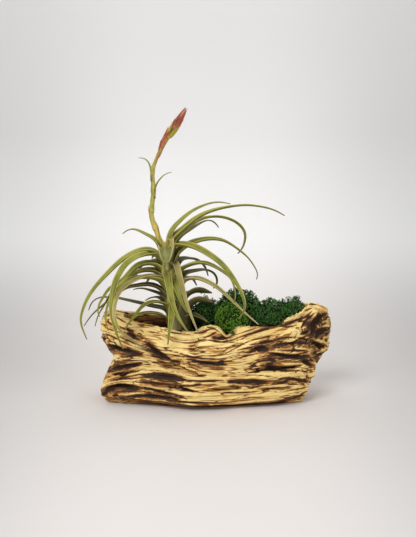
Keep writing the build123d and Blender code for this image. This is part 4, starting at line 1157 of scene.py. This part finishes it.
def makeStem():
    shares = np.linspace(0, 1, sheathShape["coreRows"])
    angle = ringAngles(sheathShape["coreSize"])
    rings = []
    for share in shares:
        radius = (stemRadius(share) - sheathShape["coreInset"]) * (1 if share > 0.02 else 0.93)
        rings.append(stemPlace(share) + np.stack((radius * np.cos(angle), radius * np.sin(angle),
                                                  np.zeros(len(angle))), 1))
    shapes = [tubeShape(np.stack(rings), {"along": shares * 0.3, "across": 0.0, "level": shares,
                                          "worn": 0.5})]
    chance = random.Random(4)
    rows = sheathShape["rows"]
    for number in range(sheathShape["count"]):
        share = number / (sheathShape["count"] - 1)
        low = sheathShape["lowest"] + (sheathShape["highest"] - sheathShape["lowest"]) * share
        spread = sheathShape["turnSpread"]
        outward = headingWay(number * sheathShape["turn"] + chance.uniform(-spread, spread))
        length = sheathShape["length"] * chance.uniform(*sheathShape["lengths"])
        rise = length / plantShape["stemLength"]
        # the tip's flare is drawn once for each of the four points, and the last draw counts
        draws = [chance.uniform(*sheathShape["tipFlare"]) for step in range(4)]
        line = []
        for step, flare in sheathShape["flares"] + [(1.0, draws[-1])]:
            at = low + rise * step
            line.append(stemPlace(at) + outward * (stemRadius(at) - sheathShape["inset"] + flare))
        run = np.linspace(0, 1, rows)
        narrow = np.maximum(1 - run ** sheathShape["narrowing"], 0.04)
        points, faces, marks = bladeShape(
            smoothPath(line, rows), np.tile(-outward, (rows, 1)),
            stemRadius(low) * sheathShape["halfWidth"] * narrow,
            np.maximum(sheathShape["arc"] * narrow, 0.12), np.full(rows, sheathShape["thickness"]))
        marks["level"] = np.full(len(points), low)
        marks["worn"] = np.full(len(points), chance.random())
        shapes.append((points, faces, marks))
    return makePiece("plantStemSheaths", *gather(shapes))


stemFinish = {
    "tan": paint(186, 158, 118), "grey": paint(128, 108, 78), "dark": paint(98, 74, 54),
    "green": paint(140, 134, 72), "pale": paint(214, 198, 152),
    "marks": ("along", "across", "level", "worn"),
    "noises": {"fibres": ((900, 900, 60),), "clouds": ((160, 160, 60),)},
    "layers": [
        ("worn", (0.2, 0.8), 1.0, "grey"),
        ("level", (0.20, 0.60), 0.85, "green"),
        ("clouds", (0.45, 0.7), 0.7, "dark"),
        ("fibres", (0.5, 0.7), 0.45, "pale"),
        ("across", (0.66, 0.96), 0.75, "pale"),
        ("along", (0.7, 1.0), 0.7, "dark"),
    ],
    "surface": {"Roughness": 0.66},
    "bump": (0.5, 0.0005),
}


def makeStemFinish():
    finish, tree, follow = startFinish("stemSheath", stemFinish)
    body = layColours(follow, stemFinish, "tan", stemFinish["layers"])
    return endFinish(finish, stemFinish, body, follow["fibres"])


dress(makeStem(), makeStemFinish(), "air_plant", "plant_stem")
print("stem done")

# The flower stalk, its two small leaves and the two flower heads
scapeShape = {
    "height": 0.110,
    "points": [(0, 0, 0), (-0.046, 0, 0.057), (-0.083, 0.005, 0.164), (-0.112, 0.011, 0.25),
               (-0.122, 0.018, 0.37), (-0.108, 0.023, 0.48), (-0.104, 0.023, 0.60), (-0.108, 0.018, 0.71),
               (-0.079, 0.014, 0.80), (-0.038, 0.009, 0.89), (0.008, 0.004, 0.97), (0.029, 0, 1.0)],
    "rows": 61,
    "size": 14,
    "footRadius": 0.0028,
    "topRadius": 0.0018,
    "joints": (0.02, 0.17, 0.33, 0.5, 0.66, 0.82),
    "swell": 0.16,            # above each joint
    "sheath": 0.22,           # share of the stalk that a pointed sheath climbs
    "sheathTurn": 2.6,        # from one sheath to the next, in radians
    "sheathArc": 1.35,
    "sheathThickness": 0.0004,
    "sheathRows": 22,
    "leafRows": 26,
    "leaves": {
        "scape_leaf_left": (180, 0.68, [(0.03, 0.07), (0.07, 0.12), (0.13, 0.13)]),
        "scape_leaf_right": (0, 0.54, [(0.03, 0.04), (0.06, 0.09), (0.10, 0.13), (0.17, 0.16)]),
    },
}

# Flower heads: length, lean and half width, how many bracts, and how far the green foot has gone
flowerShape = {
    "rows": 34,
    "size": 12,
    "bractRows": 22,
    "bractThickness": 0.00032,
    "bractReach": (0.40, 0.08),      # share of the head that a bract covers, and what chance adds
    "bractArc": 1.5,
    "bractSway": 0.45,        # off its rank, in radians
    "lastBract": 0.80,        # where on the head the bracts stop starting
    "upper": {"length": 0.031, "lean": 0.63, "halfWidth": 0.0047, "count": 9, "seed": 3, "ripeness": 0.0},
    "bud": {"length": 0.0245, "lean": 0.42, "halfWidth": 0.0024, "count": 5, "seed": 8, "ripeness": 0.4},
    "budRoot": 0.885,         # share of the stalk at which the bud sits
    "budAside": (0.45, 0.5, 0.0008),       # shares of its half width left and forward, and metres down
}

crown = stemPlace(1.0)
scapeCorners = crown + np.array(scapeShape["points"]) * scapeShape["height"]
scapeLine = smoothPath(scapeCorners, scapeShape["rows"])


def along(shares, at, values):
    return np.stack([np.interp(at, shares, values[:, axis]) for axis in range(3)], 1)


def makeScape():
    share = np.linspace(0, 1, scapeShape["rows"])
    ahead = unit(np.gradient(scapeLine, axis=0))
    side = unit(np.cross(np.tile((0, 1.0, 0), (len(share), 1)), ahead))
    other = np.cross(ahead, side)
    radius = scapeShape["footRadius"] + (scapeShape["topRadius"] - scapeShape["footRadius"]) * share
    # sheathing bracts swell it a little above each joint
    joint = (share * len(scapeShape["joints"])) % 1.0
    radius = radius * (0.90 + scapeShape["swell"] * np.exp(-((joint - 0.15) / 0.16) ** 2))
    angle = ringAngles(scapeShape["size"])
    ridged = radius[:, None] * (1 + 0.05 * np.sin(angle * 3))
    rings = (scapeLine[:, None] + side[:, None] * (ridged * np.cos(angle))[..., None]
             + other[:, None] * (ridged * np.sin(angle))[..., None])
    shapes = [tubeShape(rings, {"level": share, "bract": 0.0, "along": share, "across": 0.0})]
    # pointed sheaths wrapped round the stalk, one at each joint
    rows = scapeShape["sheathRows"]
    run = np.linspace(0, 1, rows)
    for number, start in enumerate(scapeShape["joints"]):
        at = np.clip(start + scapeShape["sheath"] * run, 0, 1)
        turn = 0.6 + number * scapeShape["sheathTurn"]
        ways = unit(along(share, at, side) * math.cos(turn) + along(share, at, other) * math.sin(turn))
        around = np.interp(at, share, radius)
        path = along(share, at, scapeLine) + ways * (around + 0.00015 + 0.0004 * run ** 3)[:, None]
        arcs = np.maximum(scapeShape["sheathArc"] * (1 - run ** 2.2), 0.1)
        points, faces, marks = bladeShape(path, -ways, around * 1.12 * arcs, arcs,
                                          np.full(rows, scapeShape["sheathThickness"]))
        marks["level"] = np.repeat(at, len(points) // rows)
        marks["bract"] = np.ones(len(points))
        shapes.append((points, faces, marks))
    return makePiece("flowerStalk", *gather(shapes))


def makeScapeLeaf(name, heading, rootShare, points):
    root = scapeLine[int(round(rootShare * (scapeShape["rows"] - 1)))]
    turn = math.radians(heading)
    outward = headingWay(turn)
    line = [root - np.array((0, 0, 0.009)) + outward * 0.0016, root + outward * 0.0019]
    height = scapeShape["height"]
    for out, up in points:
        line.append(root + outward * out * height + np.array((0, 0, up * height)))
    rows = scapeShape["leafRows"]
    path = smoothPath(line, rows)
    run = np.linspace(0, 1, rows)
    chord = 0.0003 + 0.0026 * (1 - run) ** 0.9
    ahead = unit(np.gradient(path, axis=0))
    side = np.tile((-math.sin(turn), math.cos(turn), 0), (rows, 1))
    points, faces, marks = bladeShape(path, np.cross(ahead, side), chord * 1.25, np.full(rows, 1.15),
                                      0.0007 * (1 - 0.5 * run), 6)
    marks["tone"] = np.full(len(points), 0.35)
    marks["run"] = np.repeat(run * 0.02, len(points) // rows)
    return makePiece(name.replace("_", "") + "Blade", points, faces, marks)


def makeFlower(name, foot, flower):
    # a slim spindle under tight overlapping bracts in two ranks
    chance = random.Random(flower["seed"])
    lean = np.array((flower["lean"], 0, 1.0)) * flower["length"]
    length = np.linalg.norm(lean)
    ahead = lean / length
    side = unit(np.cross(np.array((0, 1.0, 0)), ahead))
    back = np.cross(ahead, side)

    def girth(share):
        swell = np.maximum(np.sin(np.pi * np.clip(share, 0, 1) ** 0.72 * 0.96 + 0.12), 0)
        return flower["halfWidth"] * swell ** 0.75

    share = np.linspace(0, 1, flowerShape["rows"])
    angle = ringAngles(flowerShape["size"])
    radius = 0.80 * girth(share) + 0.0002
    rings = (foot + ahead * (share * length * 0.97)[:, None, None]
             + side * (radius[:, None] * np.cos(angle))[..., None]
             + back * (radius[:, None] * 0.72 * np.sin(angle))[..., None])
    shapes = [tubeShape(rings, {"level": share, "along": share * 0.6, "across": 0.0, "worn": 0.5})]
    rows = flowerShape["bractRows"]
    run = np.linspace(0, 1, rows)
    for number in range(flower["count"]):
        start = number / flower["count"] * flowerShape["lastBract"]
        reach, more = flowerShape["bractReach"]
        end = min(start + reach + more * chance.random(), 1.0)
        sway = flowerShape["bractSway"]
        turn = (0 if number % 2 else math.pi) + chance.uniform(-sway, sway) - 0.5
        way = side * math.cos(turn) + back * math.sin(turn)
        at = start + (end - start) * run
        around = 0.84 * girth(at) * (0.80 + 0.20 * abs(math.cos(turn)))
        off = around + 0.00022 + 0.00045 * run ** 3
        path = foot + ahead * (at * length)[:, None] + way * off[:, None]
        arcs = np.maximum(flowerShape["bractArc"] * (1 - run ** 2.6), 0.12)
        points, faces, marks = bladeShape(path, np.tile(-way, (rows, 1)),
                                          np.maximum(around, 0.0006) * 1.06 * arcs, arcs,
                                          np.full(rows, flowerShape["bractThickness"]))
        marks["level"] = np.full(len(points), start + flower["ripeness"])
        marks["worn"] = np.full(len(points), chance.random())
        shapes.append((points, faces, marks))
    return makePiece(name, *gather(shapes))


scapeFinish = {
    "orange": paint(228, 184, 100), "yellow": paint(200, 184, 84), "green": paint(152, 154, 62),
    "red": paint(190, 104, 66), "pale": paint(226, 208, 130),
    "marks": ("level", "bract", "along", "across"),
    "noises": {"lines": ((1300, 1300, 70), 2.0), "clouds": ((260, 260, 90),)},
    "flush": (0.45, 0.95),    # where along a sheath it turns red
    "layers": [
        ("level", (0.05, 0.3), 1.0, "yellow"),
        ("clouds", (0.4, 0.62), 1.0, "green"),
        ("level", (0.66, 1.0), 0.34, "red"),
        ("flush", None, 0.7, "red"),
        ("lines", (0.5, 0.72), 0.35, "pale"),
        ("across", (0.75, 1.0), 0.5, "pale"),
    ],
    "surface": {"Roughness": 0.5},
    "bump": (0.3, 0.0003),
}


def makeScapeFinish():
    finish, tree, follow = startFinish("flowerStalkSkin", scapeFinish)
    follow["flush"] = times(ramp(follow["along"], *scapeFinish["flush"]), follow["bract"])
    body = layColours(follow, scapeFinish, "orange", scapeFinish["layers"])
    return endFinish(finish, scapeFinish, body, follow["lines"])


bractFinish = {
    "foot": paint(176, 174, 44), "salmon": paint(200, 112, 72), "red": paint(168, 72, 50),
    "deep": paint(116, 48, 32), "pale": paint(216, 150, 104), "tip": paint(80, 52, 36),
    "marks": ("level", "along", "across", "worn"),
    "noises": {"lines": ((900, 900, 200),)},
    "footReach": 0.35,        # how much sooner a bract's tip leaves the green foot
    "layers": [
        ("worn", (0.2, 0.8), 1.0, "red"),
        ("low", (0.46, 0.78), 1.0, "foot"),
        ("lines", (0.48, 0.70), 0.6, "deep"),
        ("across", (0.30, 0.05), 0.55, "pale"),
        ("across", (0.62, 0.90), 0.8, "deep"),
        ("along", (0.86, 1.0), 0.7, "tip"),
    ],
    "surface": {"Roughness": 0.42},
    "bump": (0.3, 0.0003),
}


def makeBractFinish():
    finish, tree, follow = startFinish("flowerBract", bractFinish)
    high = plus(follow["level"], times(follow["along"], bractFinish["footReach"]))
    follow["low"] = calc("SUBTRACT", 1.0, high)
    body = layColours(follow, bractFinish, "salmon", bractFinish["layers"])
    return endFinish(finish, bractFinish, body, follow["lines"])


scapeSkin, bractSkin = makeScapeFinish(), makeBractFinish()
dress(makeScape(), scapeSkin, "air_plant", "flower_scape")
for name, row in scapeShape["leaves"].items():
    dress(makeScapeLeaf(name, *row), leafFinishes["fresh"], "air_plant", name)
budLeft, budForward, budDown = flowerShape["budAside"]
budHalfWidth = flowerShape["bud"]["halfWidth"]
budFoot = (scapeLine[int(round(flowerShape["budRoot"] * (scapeShape["rows"] - 1)))]
           - np.array((budHalfWidth * budLeft, budHalfWidth * budForward, budDown)))
for name, foot, flower, node in (("flowerHead", scapeLine[-1], "upper", "flower_upper"),
                                 ("flowerBud", budFoot, "bud", "flower_lower")):
    dress(makeFlower(name, foot, flowerShape[flower]), bractSkin, "air_plant", node)
print("flower done")

# Reindeer moss: tufts of forked fronds all over each clump
mossGrowth = {
    "kinds": 10,              # different tufts
    "height": 0.0066,
    "branch": 0.00060,        # half thickness of a tuft's foot
    "forks": (3, 3, 2),       # branches from the foot up
    "sizes": (0.85, 1.25),
    "gap": 0.0036,            # distance between tufts
    "inset": 0.0042,          # how far a tuft's foot lies under the clump's surface
    "lean": 0.35,             # how much tufts turn upward
    "spread": 0.20,           # how much wider a clump's top is than its solid's
    "lump": 0.0026,
    "lumpSize": 0.010,
    "lowest": 0.0605,         # tufts lower than this would be out of sight
    "logReach": 0.006,        # a tuft so near under something else is out of sight
    "mossReach": 0.004,
    "coreSize": 0.0022,
    "coreEvening": 6,
    "coreInset": 0.0036,
    "coreLump": 0.0022,
}


def growTuft(seed):
    # a forked frond as thin three-sided branches, with how near each point is to a tip
    chance = random.Random(seed)
    points, quads, tips = [], [], []
    last = len(mossGrowth["forks"])
    levels = 3.6              # a twig's tip counts as this many forks

    def ring(centre, ahead, radius, tip):
        side = ahead.orthogonal().normalized()
        other = ahead.cross(side)
        first = len(points)
        for step in range(3):
            angle = 2.0944 * step
            points.append(centre + side * (radius * math.cos(angle)) + other * (radius * math.sin(angle)))
            tips.append(tip)
        return first

    def branch(start, ahead, length, radius, level):
        bend = Vector([chance.uniform(-1, 1) for axis in range(3)]) * 0.55
        middle = start + ahead * (length * 0.5)
        turned = (ahead + bend * (0.9 if level == last else 0.4)).normalized()
        end = middle + turned * (length * 0.5)
        stops = [(start, ahead, radius, level / levels)]
        if level == last:
            stops.append((middle, ahead, radius * 0.9, (level + 0.3) / levels))
        stops.append((end, turned, radius * (0.62 if level == last else 0.88), (level + 0.6) / levels))
        rows = [ring(*stop) for stop in stops]
        for low, high in zip(rows, rows[1:]):
            for step in range(3):
                after = (step + 1) % 3
                quads.append((low + step, low + after, high + after, high + step))
        if level == last:
            return
        start = chance.uniform(0, 6.28)
        count = mossGrowth["forks"][level]
        for number in range(count):
            angle = start + number * 6.283 / count + chance.uniform(-0.4, 0.4)
            side = turned.orthogonal().normalized()
            out = side * math.cos(angle) + turned.cross(side) * math.sin(angle)
            way = (turned * chance.uniform(0.55, 0.95) + out * chance.uniform(0.6, 1.0)).normalized()
            branch(end, way, length * chance.uniform(0.62, 0.86), radius * 0.8, level + 1)

    branch(Vector((0, 0, 0)), Vector((0, 0, 1)), mossGrowth["height"] * 0.34, mossGrowth["branch"], 0)
    return np.array([list(p) for p in points]), np.array(quads), np.array(tips)


def scatter(corners, chance, gap):
    # even places and normals over triangles, none closer than the gap
    a, b, c = corners[:, 0], corners[:, 1], corners[:, 2]
    cross = np.cross(b - a, c - a)
    area = np.linalg.norm(cross, axis=1) / 2
    count = int(area.sum() / gap ** 2 * 9)
    pick = chance.choice(len(area), count, p=area / area.sum())
    u, v = chance.random(count), chance.random(count)
    flip = u + v > 1
    u, v = np.where(flip, 1 - u, u), np.where(flip, 1 - v, v)
    places = a[pick] + (b - a)[pick] * u[:, None] + (c - a)[pick] * v[:, None]
    around = [(dx, dy, dz) for dx in (-1, 0, 1) for dy in (-1, 0, 1) for dz in (-1, 0, 1)]
    taken = {}
    kept = []
    for index, place in enumerate(places):
        cell = tuple((place / gap).astype(int))
        others = (other for step in around
                  for other in taken.get((cell[0] + step[0], cell[1] + step[1], cell[2] + step[2]), ()))
        if not any(((other - place) ** 2).sum() < gap ** 2 for other in others):
            taken.setdefault(cell, []).append(place)
            kept.append(index)
    return places[kept], unit(cross)[pick][kept]


def triangles(node):
    mesh = frame["nodes"][node].data
    mesh.calc_loop_triangles()
    places = np.array([vertex.co for vertex in mesh.vertices])
    return places[np.array([tri.vertices for tri in mesh.loop_triangles])]


def meshTree(mesh):
    return BVHTree.FromPolygons([v.co for v in mesh.vertices], [p.vertices for p in mesh.polygons])


mossNodes = [name for name in frame["nodes"] if name.startswith("moss")]
tufts = [growTuft(100 + kind) for kind in range(mossGrowth["kinds"])]
logTree = meshTree(log.data)
mossTrees = {node: meshTree(frame["nodes"][node].data) for node in mossNodes}


def spreadTop(places, node):
    # widens a clump upward, so that it meets its neighbours in a level top
    low, high = (np.array(corner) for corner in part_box(node))
    middle = (low + high) / 2
    height = np.clip((places[:, 2] - low[2]) / (high[2] - low[2]), 0, 1)
    factor = 1 + mossGrowth["spread"] * height ** 2 * (node != "moss_bed")
    result = places.copy()
    result[:, :2] = middle[:2] + (places[:, :2] - middle[:2]) * factor[:, None]
    return result


def mossCore(node, seed):
    # a dark core, so that nothing shows through between the fronds; its deep colour is painted shade
    core, quads = copySkin(node, mossGrowth["coreSize"], mossGrowth["coreEvening"])[::2]
    normals = skinNormals(core, quads)
    bumps = mossGrowth["coreLump"] * (layeredNoise(core / 0.006, seed, 2) - 0.5)
    core = spreadTop(core, node) - normals * (mossGrowth["coreInset"] + bumps)[:, None]
    return core, quads, {"tip": np.zeros(len(core)), "shade": cloudNoise(core / 0.01, seed)}


def meets(tree, start, way, reach):
    return tree.ray_cast(start, Vector(way), reach)[0] is not None


def makeMoss(node, finish, seed):
    chance = np.random.default_rng(seed)
    places, normals = scatter(triangles(node), chance, mossGrowth["gap"])
    normals = unit(normals + np.array((0, 0, mossGrowth["lean"])))
    spread = spreadTop(places, node)
    lumps = layeredNoise(spread / mossGrowth["lumpSize"], seed + 3, 2) - 0.5
    places = spread + normals * (2 * mossGrowth["lump"] * lumps)[:, None]
    others = [tree for other, tree in mossTrees.items() if other != node]
    shapes = [mossCore(node, seed)]
    for place, normal in zip(places, normals):
        start = Vector(place + normal * 0.0012)
        if (place[2] < mossGrowth["lowest"] or meets(logTree, start, normal, mossGrowth["logReach"])
                or any(meets(tree, start, normal, mossGrowth["mossReach"]) for tree in others)):
            continue
        points, faces, tips = tufts[chance.integers(len(tufts))]
        spin = chance.uniform(0, 6.28)
        rotate = np.array(Vector(normal).to_track_quat("Z", "Y").to_matrix()) @ np.array(
            ((math.cos(spin), -math.sin(spin), 0), (math.sin(spin), math.cos(spin), 0), (0, 0, 1)))
        size = chance.uniform(*mossGrowth["sizes"])
        moved = points @ rotate.T * size + place - normal * mossGrowth["inset"]
        # a frond that would cross the log's skin is left out
        ends = [moved[index] - start for axis in range(3)
                for index in (moved[:, axis].argmin(), moved[:, axis].argmax())]
        if any(meets(logTree, start, end, np.linalg.norm(end)) for end in ends):
            continue
        shapes.append((moved, faces, {"tip": tips, "shade": np.full(len(moved), chance.random())}))
    points, faces, marks = gather(shapes)
    piece = makePiece(node.replace("_", "") + "Fronds", points, faces, marks)
    dress(piece, finish, "planter", node)
    print(node, len(shapes) - 1, "tufts,", len(faces) * 2, "triangles")


mossFinish = {
    # deep is painted shade: the colour of each clump's core and of each tuft's foot
    "moss_dark": {"deep": paint(18, 36, 8), "body": paint(74, 122, 52), "tip": paint(132, 176, 98)},
    "moss_bright": {"deep": paint(22, 48, 4), "body": paint(112, 164, 46), "tip": paint(176, 218, 98)},
}


mossSkin = {
    "marks": ("tip", "shade"),
    "noises": {"clouds": (120.0,), "grit": (1500.0, 2.0)},
    "layers": [
        # from the deep colour, painted shade at a tuft's foot, up to the body and tip colours
        ("tip", (0.40, 0.92), 1.0, "body"),
        ("tip", (0.82, 1.15), 1.0, "tip"),
        ("clouds", (0.4, 0.7), 0.3, "body"),
        ("shade", None, 0.35, "deep"),
        ("grit", (0.55, 0.8), 0.3, "tip"),
    ],
    "surface": {"Roughness": 0.85, "Specular IOR Level": 0.2},
    "bump": (0.3, 0.0002),
}


def makeMossFinish(slot):
    finish, tree, follow = startFinish("moss" + slot.replace("moss_", "").capitalize(), mossSkin)
    body = layColours(follow, mossFinish[slot], "deep", mossSkin["layers"])
    return endFinish(finish, mossSkin, body, follow["grit"])


mossFinishes = {slot: makeMossFinish(slot) for slot in mossFinish}
for number, node in enumerate(mossNodes):
    makeMoss(node, mossFinishes[slotOf[node]], 20 + number)
print("moss done")

# Floor, backdrop and light
studio = {
    "floor": paint(225, 219, 215),
    # painted shade: the paper darkens toward the sides, and the wall toward its top
    "floorSide": paint(184, 182, 179),
    "wall": paint(246, 245, 243),
    "wallTop": paint(234, 233, 232),
    "wallSide": paint(217, 216, 215),
    # where one colour gives way to the next, in metres
    "sideways": (0.05, 0.32),
    "upTheWall": (0.2, 0.43),
    "offTheFloor": (0.0, 0.12),
    "roughness": 0.9,
    "reach": 2.5,             # half the floor's width
    "turnAt": 0.16,           # where the floor starts to curve up, behind the log
    "turnRadius": 0.25,
    "turnSteps": 24,
    "wallHeight": 2.2,
    "sky": (0.92, 0.95, 1.0, 1.0),
    "skyStrength": 0.34,
    # place, target, size and power of each lamp
    "lamps": {
        "keyBox": ((-0.7, -1.3, 1.5), (0, 0, 0.08), (0.9, 0.8), 23),
        "fillBox": ((1.3, -1.0, 1.0), (0, 0, 0.1), (1.2, 1.2), 6),
        "topBox": ((0.1, 0.1, 1.7), (0, 0, 0), (1.4, 1.2), 8),
    },
}


def mixShaders(tree, share, first, second, output):
    mix = tree.nodes.new("ShaderNodeMixShader")
    for end, socket in zip((share, first.outputs[0], second.outputs[0]), mix.inputs):
        tree.links.new(end, socket)
    tree.links.new(mix.outputs[0], tree.nodes[output].inputs["Surface"])


def makeStage():
    reach, turnAt, radius = studio["reach"], studio["turnAt"], studio["turnRadius"]
    profile = [(-reach, 0.0), (turnAt, 0.0)]
    for step in range(1, studio["turnSteps"] + 1):
        angle = math.pi / 2 * step / studio["turnSteps"]
        profile.append((turnAt + radius * math.sin(angle), radius * (1 - math.cos(angle))))
    profile.append((profile[-1][0], studio["wallHeight"]))
    # the table goes on behind the sweep
    rows = [profile, [(turnAt, 0.0), (reach, 0.0)]]
    points = np.array([(x, y, z) for row in rows for y, z in row for x in (-reach, reach)])
    index = np.arange(len(points)).reshape(-1, 2)
    quads = np.stack((index[:-1, 0], index[:-1, 1], index[1:, 1], index[1:, 0]), -1)
    stage = makePiece("paperSweep", points, np.delete(quads, len(profile) - 1, 0))
    finish = bpy.data.materials.new("paper")
    finish.use_nodes = True
    tree = finish.node_tree
    shader = tree.nodes["Principled BSDF"]
    split = tree.nodes.new("ShaderNodeSeparateXYZ")
    plug(objectPlace(tree), split.inputs[0])
    x, z = split.outputs[0], split.outputs[2]
    # painted shade: darker toward the sides and toward the wall's top
    aside = ramp(calc("ABSOLUTE", x), *studio["sideways"])
    low = mix(aside, studio["floor"], studio["floorSide"])
    high = mix(ramp(z, *studio["upTheWall"]), studio["wall"], studio["wallTop"])
    high = mix(aside, high, studio["wallSide"])
    plug(mix(ramp(z, *studio["offTheFloor"]), low, high), shader.inputs["Base Color"])
    shader.inputs["Roughness"].default_value = studio["roughness"]
    # the sweep is see-through from behind, so that the log's back can be looked at
    mixShaders(tree, tree.nodes.new("ShaderNodeNewGeometry").outputs["Backfacing"], shader,
               tree.nodes.new("ShaderNodeBsdfTransparent"), "Material Output")
    stage.data.materials.append(finish)


def makeLamp(name, place, target, size, power):
    lamp = bpy.data.lights.new(name, "AREA")
    lamp.shape = "RECTANGLE"
    lamp.size, lamp.size_y = size
    lamp.energy = power
    holder = bpy.data.objects.new(name, lamp)
    holder.location = place
    holder.rotation_euler = (Vector(target) - Vector(place)).to_track_quat("-Z", "Y").to_euler()
    bpy.context.scene.collection.objects.link(holder)


def makeWorld():
    world = bpy.data.worlds.new("room")
    bpy.context.scene.world = world
    world.use_nodes = True
    tree = world.node_tree
    sky = tree.nodes["Background"]
    sky.inputs[0].default_value = studio["sky"]
    sky.inputs[1].default_value = studio["skyStrength"]
    # past the sweep's edges the camera sees the wall's side colour, with its painted shade
    backdrop = tree.nodes.new("ShaderNodeBackground")
    backdrop.inputs[0].default_value = studio["wallSide"]
    mixShaders(tree, tree.nodes.new("ShaderNodeLightPath").outputs["Is Camera Ray"], sky, backdrop,
               "World Output")


makeStage()
for name, lamp in studio["lamps"].items():
    makeLamp(name, *lamp)
makeWorld()
bpy.context.scene.view_settings.view_transform = "Standard"

print("scene made")
